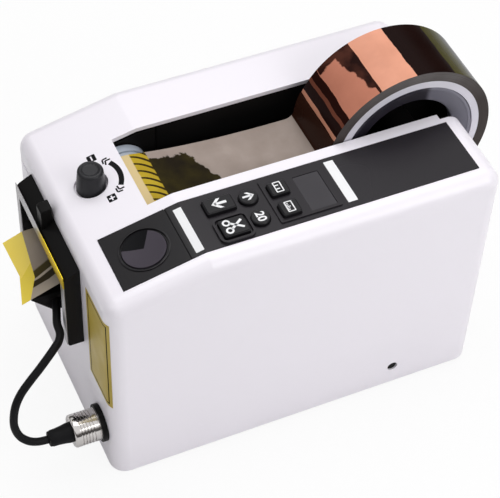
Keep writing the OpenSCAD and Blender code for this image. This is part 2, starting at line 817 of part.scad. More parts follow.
// Outline of a mechanism side plate
module plate_outline() {
    z1 = z_top - wall - plate_under_roof;
    yf = plate_front + plate_bevel;
    difference() {
        polygon([[plate_front, z_floor], [plate_back, z_floor], [plate_back, z1], [fold_y, z1],
            [yf, roof(yf) - roof_wall - plate_under_roof],
            [plate_front, roof(plate_front) - roof_wall - plate_under_roof - plate_bevel],
            [plate_front, window_z1 - plate_gap], [y_front, window_z1 - plate_gap],
            [y_front, window_z0 + plate_gap], [plate_front, window_z0 + plate_gap]]);
        translate([carrier_mid - tongue_w / 2 - seat_gap, tongue_z0 - cut])
            square([tongue_w + 2 * seat_gap, tongue_z1 - tongue_z0 + blade_travel + 2 * cut]);
        translate(roller_c) circle(bush_r);
        translate([carrier_mid, cam_z]) circle(cam_shaft_r + fit_gap);
        translate(yoke_c) circle(yoke_pin_r);
    }
}

// Foot of a side plate on the base plate
module plate_foot(x0, x1) {
    box(x0, x1, plate_front + plate_foot_in, plate_back - plate_foot_in, z_floor, z_floor + plate_t);
}

module mech_plate_left() color("black") {
    along_x(x_l - plate_t, x_l) plate_outline();
    plate_foot(x_l - plate_t - plate_foot_w, x_l - plate_t + eps);
}

module mech_plate_right() color("black") {
    along_x(x_r, x_r + plate_t) difference() {
        plate_outline();
        translate(motor_c) circle(shaft_r + run_gap);
    }
    plate_foot(x_r + plate_t - eps, x_r + plate_t + plate_foot_w);
}

module plate_spacers() color("silver")
    for (c = spacers) rod_x(c, spacer_r, x_l, x_r);

module feed_bearings() color("goldenrod")
    for (x = [[x_l - plate_t - bush_lip, x_l], [x_r, x_r + plate_t + bush_lip]]) difference() {
        rod_x(roller_c, bush_r, x[0], x[1]);
        rod_x(roller_c, shaft_r + fit_gap, x[0] - cut, x[1] + cut);
    }

// Gear motor along X with a bore for its shaft in the face at x = 0
module gear_motor(r, length, shaft) {
    step = length * motor_step;
    difference() {
        union() {
            rod_x([0, 0], r, 0, step);
            rod_x([0, 0], r - motor_can_step, step - eps, length);
            rod_x([0, 0], motor_tip_r, length - eps, length + motor_tip);
        }
        rod_x([0, 0], shaft + fit_gap, -cut, motor_bore);
    }
}

module feed_motor() color("silver")
    translate([x_r, motor_c[0], motor_c[1]]) rotate([0, 0, 180]) gear_motor(motor_r, motor_len, shaft_r);

module cutter_motor() color("silver")
    translate([x_r + plate_t, carrier_mid, cam_z]) gear_motor(cutter_motor_r, cutter_motor_len, cam_shaft_r);

// Chute under the tape between the pressure roller and the cutter
module tape_guide() color("silver") {
    y0 = carrier_y1 + chute_gap;
    y1 = pinch_c[0] + chute_gap;
    z0 = exit_p[1] - film_t - chute_under + (y0 - exit_p[0]) * exit_fall;
    z1 = exit_p[1] - film_t - chute_under + (y1 - exit_p[0]) * exit_fall;
    along_x(x_l, x_r) polygon([[y0, z0], [y1, z1], [y1, z1 - chute_t], [y0, z0 - chute_t]]);
}

module blade_bar() color("dimgray")
    box(x_l, x_r, y_front, cut_y - blade_t - blade_gap / 2, film_at_cut + bar_foot, window_z1 - bar_head);

module fixed_blade() color("silver") {
    edge = film_at_cut + fixed_edge_gap;
    y1 = cut_y - blade_gap / 2;
    along_x(x_l, x_r) polygon([[y1, edge], [y1, edge + fixed_blade_h], [y1 - blade_t, edge + fixed_blade_h],
        [y1 - blade_t, edge + fixed_bevel]]);
}

module yoke_pivots() color("silver") {
    rod_x(yoke_c, yoke_pin_r, x_l - plate_t, x_l + yoke_gap + yoke_arm_t);
    rod_x(yoke_c, yoke_pin_r, x_r - yoke_gap - yoke_arm_t, x_r + plate_t);
}

module guard_profile() {
    polygon([[y_front, guard_z0], [guard_y + guard_toe, guard_z0], [guard_y, guard_z0 + guard_toe],
        [guard_y, guard_z1 - guard_brow], [guard_y + brow_round, guard_z1 - guard_brow + brow_round],
        [y_front, guard_z1]]);
}

module cutter_guard() color([0.1, 0.1, 0.11]) {
    x0 = guard_x0 + guard_leg;
    x1 = guard_x1 - guard_leg;
    difference() {
        along_x(guard_x0, guard_x1) guard_profile();
        box(x0, x1, y_front - over, y_front + over, guard_z0 - cut, guard_z1 - guard_bar);
    }
    // Cross member that carries the sensor
    box(x0 - eps, x1 + eps, sensor_back, sensor_back + member_t,
        cable_end[2] - member_half_h, cable_end[2] + member_half_h);
}

module guard_rim() color("lightgray") difference() {
    x0 = guard_x0 + guard_leg;
    x1 = guard_x1 - guard_leg;
    box(guard_x0 + rim_in, guard_x1 - rim_in, guard_y - rim_t, guard_y,
        guard_z0 + guard_toe + rim_in, guard_z1 - guard_brow - rim_in);
    box(x0, x1, guard_y - over, guard_y + over, guard_z0 - over, guard_z1 - guard_bar);
}

// Clip on the brow of the guard
module guard_latch() color([0.08, 0.08, 0.09]) {
    fall = (guard_brow - brow_round) / (guard_out - brow_round);
    x0 = knob_x - latch_left;
    y1 = y_front - latch_in;
    y0 = y1 - latch_d;
    along_x(x0, x0 + latch_w) polygon([[y0, guard_z1 - (y_front - y0) * fall],
        [y1, guard_z1 - (y_front - y1) * fall], [y1, guard_z1 + latch_h],
        [y0 + latch_round, guard_z1 + latch_h - latch_round], [y0, guard_z1 + latch_h - 2 * latch_round]]);
}

// Photo sensor below the tape that reports when a cut piece is taken away
module tape_sensor() color([0.08, 0.08, 0.09])
    box(cable_end[0] - sensor_l, cable_end[0], sensor_back - sensor_d, sensor_back,
        cable_end[2] - sensor_h / 2, cable_end[2] + sensor_h / 2);

module tape_lead() color([0.85, 0.68, 0.1])
    along_x(roll_x0, roll_x1) polygon(band(film_path, film_t));

module sensor_socket() color([0.1, 0.1, 0.11]) {
    rod_y(plug_x, plug_z, flange_r, y_front - flange_t, y_front);
    rod_y(plug_x, plug_z, socket_r, y_front - eps, y_front + socket_len);
    rod_y(plug_x, plug_z, socket_r + socket_nut_w, y_front + wall + seat_gap,
        y_front + wall + seat_gap + socket_nut_t);
}

module sensor_plug() color("silver") {
    rod_y(plug_x, plug_z, plug_r, boot_y0 + shell_cone, plug_y0);
    translate([plug_x, boot_y0, plug_z]) rotate([-90, 0, 0])
        cylinder(r1 = plug_r - shell_neck, r2 = plug_r - shell_edge, h = shell_cone + eps);
}

module plug_boot() color([0.1, 0.1, 0.11]) translate([plug_x, boot_y1, plug_z]) rotate([-90, 0, 0])
    cylinder(r1 = boot_r - boot_taper, r2 = boot_r, h = boot_len);

module sensor_cable() color([0.12, 0.12, 0.13])
    tube(smooth_route(cable_route, cable_steps), cable_r, cable_sides, cable_side);

module power_inlet() color([0.1, 0.1, 0.11]) on_rear(switch_x, inlet_z) difference() {
    union() {
        rod_y(0, 0, inlet_r + inlet_lip, 0, fitting_t);
        rod_y(0, 0, inlet_r, -inlet_len, eps);
    }
    rod_y(0, 0, inlet_bore_r, -inlet_bore, over);
}

module switch_frame() color([0.1, 0.1, 0.11]) on_rear(switch_x, switch_z) difference() {
    lip_w = switch_half_w + switch_lip;
    lip_h = switch_half_h + switch_lip;
    bore_w = switch_half_w - switch_wall;
    bore_h = switch_half_h - switch_wall;
    union() {
        box(-lip_w, lip_w, 0, fitting_t, -lip_h, lip_h);
        box(-switch_half_w, switch_half_w, -switch_len, eps, -switch_half_h, switch_half_h);
    }
    box(-bore_w, bore_w, -switch_bore, over, -bore_h, bore_h);
}

module power_rocker() color([0.15, 0.15, 0.16]) on_rear(switch_x, switch_z) rotate([rocker_tilt, 0, 0])
    along_x(-rocker_half_w, rocker_half_w) difference() {
        translate([-rocker_in, -rocker_half_h]) square([rocker_in + rocker_out, 2 * rocker_half_h]);
        translate([rocker_dip + rocker_r, 0]) circle(rocker_r, $fn = 96);
    }

module tape_roll() color([0.45, 0.28, 0.08]) difference() {
    rod_x(reel_c, tape_r, roll_x0, roll_x1, $fn = roll_facets);
    rod_x(reel_c, core_r, roll_x0 - cut, roll_x1 + cut, $fn = roll_facets);
}

module tape_core() color("antiquewhite") difference() {
    rod_x(reel_c, core_r, roll_x0, roll_x1, $fn = roll_facets);
    rod_x(reel_c, core_bore_r, roll_x0 - cut, roll_x1 + cut, $fn = roll_facets);
}

module reel_hub() color([0.22, 0.22, 0.23]) {
    x1 = roll_x1 - hub_short;
    x0 = roll_x0 - hub_side;
    disc_x = x1 - hub_disc_in - hub_disc_t;
    difference() {
        union() {
            rod_x(reel_c, core_bore_r, x0, x1, $fn = roll_facets);
            rod_x(reel_c, core_bore_r + hub_lip, x0, roll_x0, $fn = roll_facets);
        }
        rod_x(reel_c, core_bore_r - hub_rim_t, x0 - cut, disc_x);
        rod_x(reel_c, core_bore_r - hub_rim_t, disc_x + hub_disc_t, x1 + cut);
        rod_x(reel_c, axle_r, x0 - cut, x1 + cut);
        for (k = [0:hub_holes - 1]) rod_x(reel_c + hub_hole_at * [cos(360 * k / hub_holes),
            sin(360 * k / hub_holes)], hub_hole_r, x0 - cut, x1 + cut);
    }
    difference() {
        rod_x(reel_c, hub_boss_r, x0, x1);
        rod_x(reel_c, axle_r, x0 - cut, x1 + cut);
    }
}

module reel_axle() color("silver")
    rod_x(reel_c, axle_r, x_l - slot_depth + run_gap, x_r + slot_depth - run_gap);

module feed_roller() color([0.75, 0.75, 0.74]) {
    x0 = x_l + roller_end_gap;
    x1 = x_r - roller_end_gap;
    pitch = (x1 - x0) / rib_count;
    difference() {
        rod_x(roller_c, roller_r, x0, x1);
        rod_x(roller_c, shaft_r, x0 - cut, x1 + cut);
        for (x = [x0 + pitch:pitch:x1 - pitch / 2]) difference() {
            rod_x(roller_c, roller_r + cut, x - groove_w / 2, x + groove_w / 2);
            rod_x(roller_c, roller_r - groove_depth, x - groove_w, x + groove_w);
        }
    }
}

module feed_shaft() color("silver")
    rod_x(roller_c, shaft_r, x_l - plate_t - shaft_end, gear_x + gear_w + shaft_past_gear);

module spur_gear(c, turn) {
    difference() {
        translate([gear_x, c[0], c[1]]) rotate([turn, 0, 0]) along_x(0, gear_w)
            polygon(gear_outline(gear_teeth, gear_module));
        rod_x(c, shaft_r, gear_x - cut, gear_x + gear_w + cut);
    }
}

module feed_gear() color("ivory") spur_gear(roller_c, 0);

module motor_gear() color("ivory") {
    spur_gear(motor_c, 180 / gear_teeth);
    rod_x(motor_c, shaft_r, x_r - motor_shaft_in, gear_x + gear_w);
}

module pinch_yoke() color("silver") {
    xa = x_l + yoke_gap;
    xb = x_r - yoke_gap;
    for (x = [xa, xb - yoke_arm_t]) difference() {
        along_x(x, x + yoke_arm_t) {
            translate(yoke_c) circle(yoke_boss_r);
            translate(pinch_c) circle(yoke_boss_r);
            polygon([yoke_c + [yoke_boss_r, 0], pinch_c + [yoke_boss_r, 0], pinch_c - [yoke_boss_r, 0],
                [yoke_plate_y0, yoke_plate_z], [yoke_plate_y0, yoke_plate_z + yoke_plate_t],
                yoke_c - [yoke_boss_r, 0]]);
        }
        rod_x(yoke_c, yoke_pin_r + fit_gap, x - cut, x + yoke_arm_t + cut);
        rod_x(pinch_c, yoke_pin_r, x - cut, x + yoke_arm_t + cut);
    }
    box(xa, xb, yoke_plate_y0, yoke_plate_y1, yoke_plate_z, yoke_plate_z + yoke_plate_t);
}

module pinch_axle() color("silver")
    rod_x(pinch_c, yoke_pin_r, x_l + yoke_gap, x_r - yoke_gap);

module pinch_roller() color([0.2, 0.2, 0.21]) difference() {
    rod_x(pinch_c, pinch_r, x_l + yoke_gap + yoke_arm_t + run_gap, x_r - yoke_gap - yoke_arm_t - run_gap);
    rod_x(pinch_c, yoke_pin_r + fit_gap, x_l, x_r);
}

module pressure_knob() color([0.2, 0.2, 0.21]) translate([knob_x, knob_y, 0]) rotate_extrude() {
    foot = cup_floor + run_gap;
    dish_r = knob_top_r - knob_edge - knob_rim_w / 2;
    dish_z = knob_top - knob_dish;
    difference() {
        polygon([[0, foot], [knob_r, foot], [knob_r, cup_floor + knob_foot_h],
            [knob_top_r, knob_top - knob_edge], [knob_top_r - knob_edge, knob_top], [dish_r, knob_top],
            [dish_r - knob_dish_slope, dish_z], [0, dish_z]]);
        translate([0, cup_floor]) square([screw_r, knob_top - knob_cap - cup_floor]);
    }
}

module pressure_screw() color("silver") translate([knob_x, knob_y, spring_foot + screw_foot])
    cylinder(r = screw_r, h = knob_top - knob_cap - spring_foot - screw_foot);

module pressure_nut() color("goldenrod") translate([knob_x, knob_y, nut_top - nut_t]) difference() {
    cylinder(r = nut_r, h = nut_t, $fn = 6);
    translate([0, 0, -cut]) cylinder(r = screw_r + fit_gap, h = nut_t + 2 * cut);
}

pressure_wire = 0.35;
pressure_coil_r = 3.2;
pressure_turns = 3;
pressure_helix = helix(pressure_coil_r, spring_foot, spring_head, pressure_turns, pressure_wire);
module pressure_spring() color("silver") {
    echo(pressure_spring_gap = coil_gap(pressure_helix, pressure_wire));
    translate([knob_x, knob_y, 0]) tube(pressure_helix, pressure_wire, coil_sides, [0, 0, 1]);
}

module blade_carrier() color("dimgray") {
    x0 = x_l + carrier_side;
    x1 = x_r - carrier_side;
    box(x0, x1, carrier_y0, carrier_y1, carrier_bot, carrier_top);
    box(x0, x1, carrier_y1 - eps, carrier_y1 + ledge_d, carrier_bot, carrier_bot + ledge_h);
    box(x_l - plate_t + tongue_end, x_r + plate_t - tongue_end, carrier_mid - tongue_w / 2,
        carrier_mid + tongue_w / 2, tongue_z0, tongue_z1);
}

module moving_blade() color("silver") {
    y1 = carrier_y0;
    y0 = y1 - blade_t;
    edge = film_at_cut - blade_rest_gap;
    difference() {
        box(x_l + blade_side, x_r - blade_side, y0, y1, carrier_bot + blade_foot, edge);
        translate([x_l, y0 - cut, edge]) rotate([0, atan(blade_slant / well_w), 0])
            cube([blade_wide, over, over]);
        translate([x_l, y1, edge - blade_slant - blade_bevel]) rotate([45, 0, 0])
            cube([blade_wide, over, over]);
    }
}

heart_steps = 36;
function heart(r0, rise) = [for (i = [0:2 * heart_steps - 1])
    let (a = 180 * i / heart_steps)
    (r0 + rise * (1 - abs(a - 180) / 180)) * [cos(90 + a), sin(90 + a)]];
module cutter_cam() color("ivory") difference() {
    translate([0, carrier_mid, cam_z]) along_x(cam_x, cam_x + cam_w) polygon(heart(cam_r, blade_travel));
    rod_x([carrier_mid, cam_z], cam_shaft_r, cam_x - cut, cam_x + cam_w + cut);
}

module cam_shaft() color("silver")
    rod_x([carrier_mid, cam_z], cam_shaft_r, x_l - plate_t - cam_shaft_end, x_r + plate_t + motor_shaft_in);

return_wire = 0.5;
return_coil_r = 3;
return_turns = 9;
return_helix = helix(return_coil_r, spring_rod_z + spacer_r + run_gap, carrier_bot - run_gap, return_turns,
    return_wire);
module return_springs() color("silver") {
    echo(return_spring_gap = coil_gap(return_helix, return_wire));
    for (x = [x_l + spring_side, x_r - spring_side]) translate([x, spring_y, 0])
        tube(return_helix, return_wire, coil_sides, [0, 0, 1]);
}

// Key with a rectangular cap, a collar that keeps it in the panel and a stem to its switch
collar_top = z_top - panel_down - run_gap;
module box_key(b, h) {
    top = panel_z + h;
    round_box(b, key_round_r, collar_top - eps, top - key_bevel);
    round_box(b, key_round_r, top - key_bevel - eps, top, -key_bevel);
    round_box(b, key_round_r, collar_top - key_flange_t, collar_top, key_flange);
    key_stem(mid(b));
}

module round_key(c, r, h) {
    top = panel_z + h;
    translate([c[0], c[1], collar_top - eps]) cylinder(r = r, h = top - key_bevel - collar_top + eps);
    translate([c[0], c[1], top - key_bevel - eps]) cylinder(r1 = r, r2 = r - key_bevel, h = key_bevel + eps);
    translate([c[0], c[1], collar_top - key_flange_t]) cylinder(r = r + key_flange, h = key_flange_t);
    key_stem(c);
}

module key_stem(c) {
    translate([c[0], c[1], stem_end]) cylinder(r = stem_r, h = collar_top - stem_end);
}

module reverse_key() color(key_colour) box_key(reverse_box, key_h);
module cut_key() color(key_colour) box_key(cut_box, key_h);
module long_unit_key() color(key_colour) box_key(long_box, key_h + bezel_h);
module short_unit_key() color(key_colour) box_key(short_box, key_h + bezel_h);
module forward_key() color(key_colour) round_key(forward_at, round_key_r, key_h - key_bevel);
module preset_key() color(key_colour) round_key(preset_at, round_key_r, key_h - key_bevel);

// Round start key on the slope with a dished top
module start_key() color(key_colour) on_slope(start_at) {
    low = -panel_down - start_low;
    top = panel_proud + start_h;
    dish = start_dish_r - sqrt(start_dish_r * start_dish_r - start_key_r * start_key_r);
    difference() {
        translate([0, 0, low]) cylinder(r = start_key_r, h = top - low);
        translate([0, 0, top - dish + start_dish_r]) sphere(start_dish_r, $fn = 128);
    }
    translate([0, 0, low - key_flange_t]) cylinder(r = start_key_r + key_flange, h = key_flange_t + eps);
    translate([0, 0, low - start_stem]) cylinder(r = stem_r, h = start_stem);
}

upper_housing();
base_plate();
rubber_feet();
case_screws();
well_liner();
control_panel();
display_window();
circuit_board();
mech_plate_left();
mech_plate_right();
plate_spacers();
feed_bearings();
feed_motor();
cutter_motor();
tape_guide();
blade_bar();
fixed_blade();
yoke_pivots();
cutter_guard();
guard_rim();
guard_latch();
tape_sensor();
tape_lead();
sensor_socket();
sensor_plug();
plug_boot();
sensor_cable();
power_inlet();
switch_frame();
tape_roll();
tape_core();
reel_hub();
reel_axle();
feed_roller();
feed_shaft();
feed_gear();
motor_gear();
pinch_yoke();
pinch_axle();
pinch_roller();
pressure_knob();
pressure_screw();
pressure_nut();
pressure_spring();
blade_carrier();
moving_blade();
cutter_cam();
cam_shaft();
return_springs();
start_key();
reverse_key();
cut_key();
forward_key();
preset_key();
long_unit_key();
short_unit_key();
power_rocker();
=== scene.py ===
# %% [markdown]
# # A desk tape dispenser
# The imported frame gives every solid, joint and size of the machine. This lesson adds what a camera
# sees on top of it: finishes, softened edges, printed marks, the knurled plug, its cable and the light.

# %% Load the frame and keep its box
import json
import math

import bpy
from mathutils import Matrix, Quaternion, Vector

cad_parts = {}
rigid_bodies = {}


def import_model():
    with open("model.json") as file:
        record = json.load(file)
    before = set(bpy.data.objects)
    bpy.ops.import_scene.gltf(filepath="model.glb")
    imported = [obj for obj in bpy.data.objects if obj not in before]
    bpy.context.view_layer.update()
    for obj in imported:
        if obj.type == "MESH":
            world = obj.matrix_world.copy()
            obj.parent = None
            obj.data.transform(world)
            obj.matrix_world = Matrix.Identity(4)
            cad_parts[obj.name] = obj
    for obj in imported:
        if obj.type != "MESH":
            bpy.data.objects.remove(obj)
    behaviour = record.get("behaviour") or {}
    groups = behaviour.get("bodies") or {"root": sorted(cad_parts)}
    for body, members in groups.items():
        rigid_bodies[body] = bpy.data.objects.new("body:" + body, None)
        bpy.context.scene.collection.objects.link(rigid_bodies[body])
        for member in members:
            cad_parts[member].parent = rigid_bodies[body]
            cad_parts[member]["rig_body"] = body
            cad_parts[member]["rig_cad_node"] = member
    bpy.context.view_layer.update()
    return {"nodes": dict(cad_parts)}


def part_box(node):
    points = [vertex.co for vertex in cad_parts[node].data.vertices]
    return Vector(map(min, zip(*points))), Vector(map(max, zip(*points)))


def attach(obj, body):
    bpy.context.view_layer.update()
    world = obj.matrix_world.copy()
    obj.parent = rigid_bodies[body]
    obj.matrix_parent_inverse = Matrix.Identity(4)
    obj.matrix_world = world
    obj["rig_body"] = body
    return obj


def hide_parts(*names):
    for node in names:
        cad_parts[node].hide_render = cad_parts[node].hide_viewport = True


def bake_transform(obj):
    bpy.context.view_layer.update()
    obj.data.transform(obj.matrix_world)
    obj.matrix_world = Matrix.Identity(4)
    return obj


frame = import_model()
MM = 0.001

# %% [markdown]
# The camera comes first, because every later look is judged through it. The angles and the long lens
# are those at which the straight edges of the housing fall on the edges in the photograph. A camera
# could be aimed with a constraint, but a turn and a small roll keep the frame exactly repeatable.

# %% Camera
AZIMUTH, ELEVATION, ROLL = (math.radians(angle) for angle in (64.33, 48.03, 2.36))
CAMERA_AT = (585.7, -283.1, 789.4)
LENS, SENSOR_WIDTH = 127.84, 36
look_back = Vector((
    math.sin(AZIMUTH) * math.cos(ELEVATION),
    -math.cos(AZIMUTH) * math.cos(ELEVATION),
    math.sin(ELEVATION)))
bpy.ops.object.camera_add(location=Vector(CAMERA_AT) * MM)
camera = bpy.context.object
camera.name = "portrait_camera"
camera.rotation_mode = "QUATERNION"
camera.rotation_quaternion = (-look_back).to_track_quat("-Z", "Y") @ Quaternion((0, 0, 1), ROLL)
camera.data.sensor_width = SENSOR_WIDTH
camera.data.lens = LENS
camera.data.clip_start, camera.data.clip_end = 0.05, 20
bpy.context.scene.camera = camera
print("camera at", [round(v, 4) for v in camera.location])

# %% [markdown]
# Places come from the boxes of the solids, in millimetres. The mesh of a round solid can miss its true edge
# by some hundredths, so they are rounded to a tenth. The fold in the roof, the slope in front of it and the
# film's place at the guard lie inside their boxes, so these are written down.

# %% Places that several cells share
def span(node, axis):
    return [round(corner["XYZ".index(axis)] / MM, 1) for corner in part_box(node)]


def middle(node):
    return [round((low + high) / 2 / MM, 1) for low, high in zip(*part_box(node))]


FRONT_Y = span("upper_housing", "Y")[0]
SIDE_X, ROOF_Z = (span("upper_housing", axis)[1] for axis in "XZ")
FOLD_Y, SLOPE = -53.5, math.radians(12.9)
REEL_Y, REEL_Z = middle("tape_roll")[1:]
TAIL_LEFT, TAIL_RIGHT = span("tape_roll", "X")
TAIL_Y, TAIL_Z = -112.0, 105.6
print("roof at", ROOF_Z, "reel axle at", REEL_Y, REEL_Z, "film from", TAIL_LEFT, "to", TAIL_RIGHT, "mm")

# %% [markdown]
# Small helpers are used all through the lesson. One makes a single object selected and active, because
# an operator acts on everything that is selected. The others add a shader node, start a node group with
# named sockets, and chain sums, noises, mixes and colour ramps, so that a finish reads like a short recipe.

# %% Helpers for objects and nodes
def only(piece):
    bpy.ops.object.select_all(action="DESELECT")
    piece.select_set(True)
    bpy.context.view_layer.objects.active = piece


def add_node(tree, kind, **settings):
    node = tree.nodes.new("ShaderNode" + kind)
    for key, value in settings.items():
        setattr(node, key, value)
    return node


def start_group(name, inputs, outputs):
    group = bpy.data.node_groups.new(name, "ShaderNodeTree")
    for label, kind, value in inputs:
        socket = group.interface.new_socket(label, in_out="INPUT", socket_type="NodeSocket" + kind)
        socket.default_value = value
    for label, kind in outputs:
        group.interface.new_socket(label, in_out="OUTPUT", socket_type="NodeSocket" + kind)
    return group, group.nodes.new("NodeGroupInput").outputs, group.nodes.new("NodeGroupOutput")


def feed(tree, socket, value):
    if isinstance(value, bpy.types.NodeSocket):
        tree.links.new(value, socket)
    else:
        socket.default_value = value


def feed_all(tree, node, values):
    for label, value in values.items():
        feed(tree, node.inputs[label], value)


def calc(tree, operation, *values):
    node = add_node(tree, "Math", operation=operation)
    for socket, value in zip(node.inputs, values):
        feed(tree, socket, value)
    return node.outputs["Value"]


def map_range(tree, value, low, high, to_low=0.0, to_high=1.0, kind="LINEAR"):
    node = add_node(tree, "MapRange", interpolation_type=kind)
    feed_all(tree, node, {"Value": value, "From Min": low, "From Max": high, "To Min": to_low,
                          "To Max": to_high})
    return node.outputs["Result"]


def noise(tree, vector, scale, detail):
    node = add_node(tree, "TexNoise")
    feed_all(tree, node, {"Vector": vector, "Scale": scale, "Detail": detail})
    return node.outputs["Fac"]


def mix_tones(tree, factor, first, second, way="MIX"):
    node = add_node(tree, "Mix", data_type="RGBA", blend_type=way)
    feed_all(tree, node, {"Factor": factor, "A": first, "B": second})
    return node.outputs["Result"]


def tone_ramp(tree, value, stops, interpolation="LINEAR"):
    node = add_node(tree, "ValToRGB")
    node.color_ramp.interpolation = interpolation
    while len(node.color_ramp.elements) < len(stops):
        node.color_ramp.elements.new(0.5)
    for element, (place, colour) in zip(node.color_ramp.elements, stops):
        element.position = place
        element.color = (*colour, 1.0)
    feed(tree, node.inputs["Fac"], value)
    return node.outputs["Color"]


def rgb(red, green, blue):
    return (red, green, blue, 1.0)


def start_finish(name):
    finish = bpy.data.materials.new(name)
    finish.use_nodes = True
    return finish, finish.node_tree, finish.node_tree.nodes["Principled BSDF"]


def place_on_piece(tree):
    spot = add_node(tree, "TexCoord").outputs["Object"]
    split = add_node(tree, "SeparateXYZ")
    feed(tree, split.inputs["Vector"], spot)
    return spot, split.outputs


print("helpers ready")

# %% [markdown]
# Moulded plastic is never one flat colour: it has a fine spark-eroded grain, and large soft patches
# where it has been touched or cooled slower. The group below gives a patchy colour, a roughness that
# follows the same patches, and a height for the grain. Each plastic then brings its own two tones.

# %% Node group for moulded plastic
skin_group, given, skin_out = start_group(
    "moulded_skin",
    [("Vector", "Vector", (0, 0, 0)), ("Tone", "Color", (1, 1, 1, 1)), ("Shade", "Color", (0, 0, 0, 1)),
     ("Patches", "Float", 20.0), ("Grain", "Float", 3000.0), ("Smooth", "Float", 0.3),
     ("Rough", "Float", 0.5)],
    [("Color", "Color"), ("Roughness", "Float"), ("Height", "Float")])
patches = noise(skin_group, given["Vector"], given["Patches"], 1)
grain = noise(skin_group, given["Vector"], given["Grain"], 1)
feed_all(skin_group, skin_out, {
    "Color": mix_tones(skin_group, patches, given["Tone"], given["Shade"]),
    "Roughness": map_range(skin_group, patches, 0.3, 0.7, given["Smooth"], given["Rough"], "SMOOTHSTEP"),
    "Height": grain})
print("group", skin_group.name, "made")


# %% [markdown]
# One function turns the group into a finish. Object coordinates keep a pattern at its real size on
# every piece, and the Mapping node can stretch it into brush lines. Numbers that are the same all over,
# such as a coat or a metal's metallic value, go on the shader's sockets.

# %% A finish from the group
GRAIN_DEPTH = 0.05


def skin(name, tone, shade, smooth, rough, patches=20.0, grain=3000.0, bump=0.1, stretch=(1, 1, 1),
         **sockets):
    finish, tree, shader = start_finish(name)
    for label, value in sockets.items():
        shader.inputs[label.replace("_", " ")].default_value = value
    place = add_node(tree, "Mapping")
    feed_all(tree, place, {"Vector": add_node(tree, "TexCoord").outputs["Object"], "Scale": stretch})
    group = add_node(tree, "Group", node_tree=skin_group)
    feed_all(tree, group, {
        "Vector": place.outputs["Vector"], "Tone": rgb(*tone), "Shade": rgb(*shade), "Patches": patches,
        "Grain": grain, "Smooth": smooth, "Rough": rough})
    relief = add_node(tree, "Bump")
    feed_all(tree, relief, {
        "Strength": bump, "Distance": GRAIN_DEPTH * MM, "Height": group.outputs["Height"]})
    feed_all(tree, shader, {
        "Base Color": group.outputs["Color"], "Roughness": group.outputs["Roughness"],
        "Normal": relief.outputs["Normal"]})
    return finish


shell_white = skin("shell_white", (0.885, 0.85, 0.91), (0.872, 0.837, 0.897), 0.3, 0.34, patches=9,
                   grain=2600, bump=0.05, Coat_Weight=0.15, Coat_Roughness=0.12)
panel_black = skin("panel_black", (0.019, 0.017, 0.02), (0.021, 0.0185, 0.0225), 0.265, 0.275, grain=4200,
                   bump=0.05, Specular_IOR_Level=0.3, IOR=1.35)
start_grey = skin("start_grey", (0.056, 0.049, 0.061), (0.066, 0.058, 0.072), 0.3, 0.4, grain=3800,
                  bump=0.08, Specular_IOR_Level=0.12, IOR=1.25)
key_black = skin("key_black", (0.008, 0.0075, 0.009), (0.013, 0.012, 0.014), 0.26, 0.4, grain=3800,
                 bump=0.08, Specular_IOR_Level=0.25, IOR=1.4)
knob_black = skin("knob_black", (0.012, 0.012, 0.014), (0.026, 0.026, 0.029), 0.3, 0.45, bump=0.12,
                  Specular_IOR_Level=0.3, IOR=1.4)
guard_black = skin("guard_black", (0.005, 0.005, 0.005), (0.011, 0.01, 0.01), 0.28, 0.45, grain=2200,
                   bump=0.15, Specular_IOR_Level=0.15, IOR=1.3)
well_black = skin("well_black", (0.003, 0.003, 0.003), (0.006, 0.005, 0.005), 0.5, 0.7, grain=2600,
                  Specular_IOR_Level=0.1)
hub_grey = skin("hub_grey", (0.165, 0.16, 0.2), (0.215, 0.21, 0.255), 0.3, 0.45, grain=2400, bump=0.12,
                Specular_IOR_Level=0.3)
window_smoke = skin("window_smoke", (0.022, 0.02, 0.025), (0.034, 0.03, 0.037), 0.1, 0.2, grain=900,
                    bump=0.02, Specular_IOR_Level=0.4)
rubber_black = skin("rubber_black", (0.01, 0.01, 0.01), (0.02, 0.02, 0.02), 0.5, 0.75, grain=1500, bump=0.2)
lead_black = skin("lead_black", (0.006, 0.006, 0.007), (0.012, 0.012, 0.013), 0.32, 0.5, grain=1800,
                  bump=0.12, Specular_IOR_Level=0.2, IOR=1.3)
roller_grey = skin("roller_grey", (0.3, 0.34, 0.4), (0.42, 0.46, 0.52), 0.3, 0.5, grain=2400, bump=0.15)
card_white = skin("card_white", (0.74, 0.72, 0.79), (0.62, 0.6, 0.67), 0.5, 0.7, patches=60, grain=1800,
                  bump=0.3)
gear_acetal = skin("gear_acetal", (0.72, 0.7, 0.62), (0.66, 0.63, 0.55), 0.4, 0.55)
board_green = skin("board_green", (0.01, 0.06, 0.025), (0.02, 0.09, 0.035), 0.3, 0.45)
paint_grey = skin("paint_grey", (0.09, 0.09, 0.095), (0.13, 0.13, 0.135), 0.5, 0.7, grain=1400, bump=0.3)
ink_white = skin("ink_white", (0.86, 0.86, 0.87), (0.8, 0.8, 0.82), 0.4, 0.5, patches=60, grain=4000,
                 bump=0.05)
ink_black = skin("ink_black", (0.008, 0.008, 0.009), (0.018, 0.018, 0.02), 0.4, 0.55, patches=80,
                 grain=4000, bump=0.05, Specular_IOR_Level=0.1, IOR=1.2)
label_yellow = skin("label_yellow", (0.5, 0.37, 0.035), (0.42, 0.3, 0.025), 0.3, 0.42, patches=70,
                    grain=2600, bump=0.08)
tail_yellow = skin("tail_yellow", (0.88, 0.7, 0.13), (0.82, 0.6, 0.05), 0.16, 0.3, patches=45, grain=900,
                   bump=0.04)
plug_chrome = skin("plug_chrome", (0.7, 0.67, 0.65), (0.52, 0.5, 0.49), 0.08, 0.16, patches=90, grain=1600,
                   bump=0.04, Metallic=1.0)
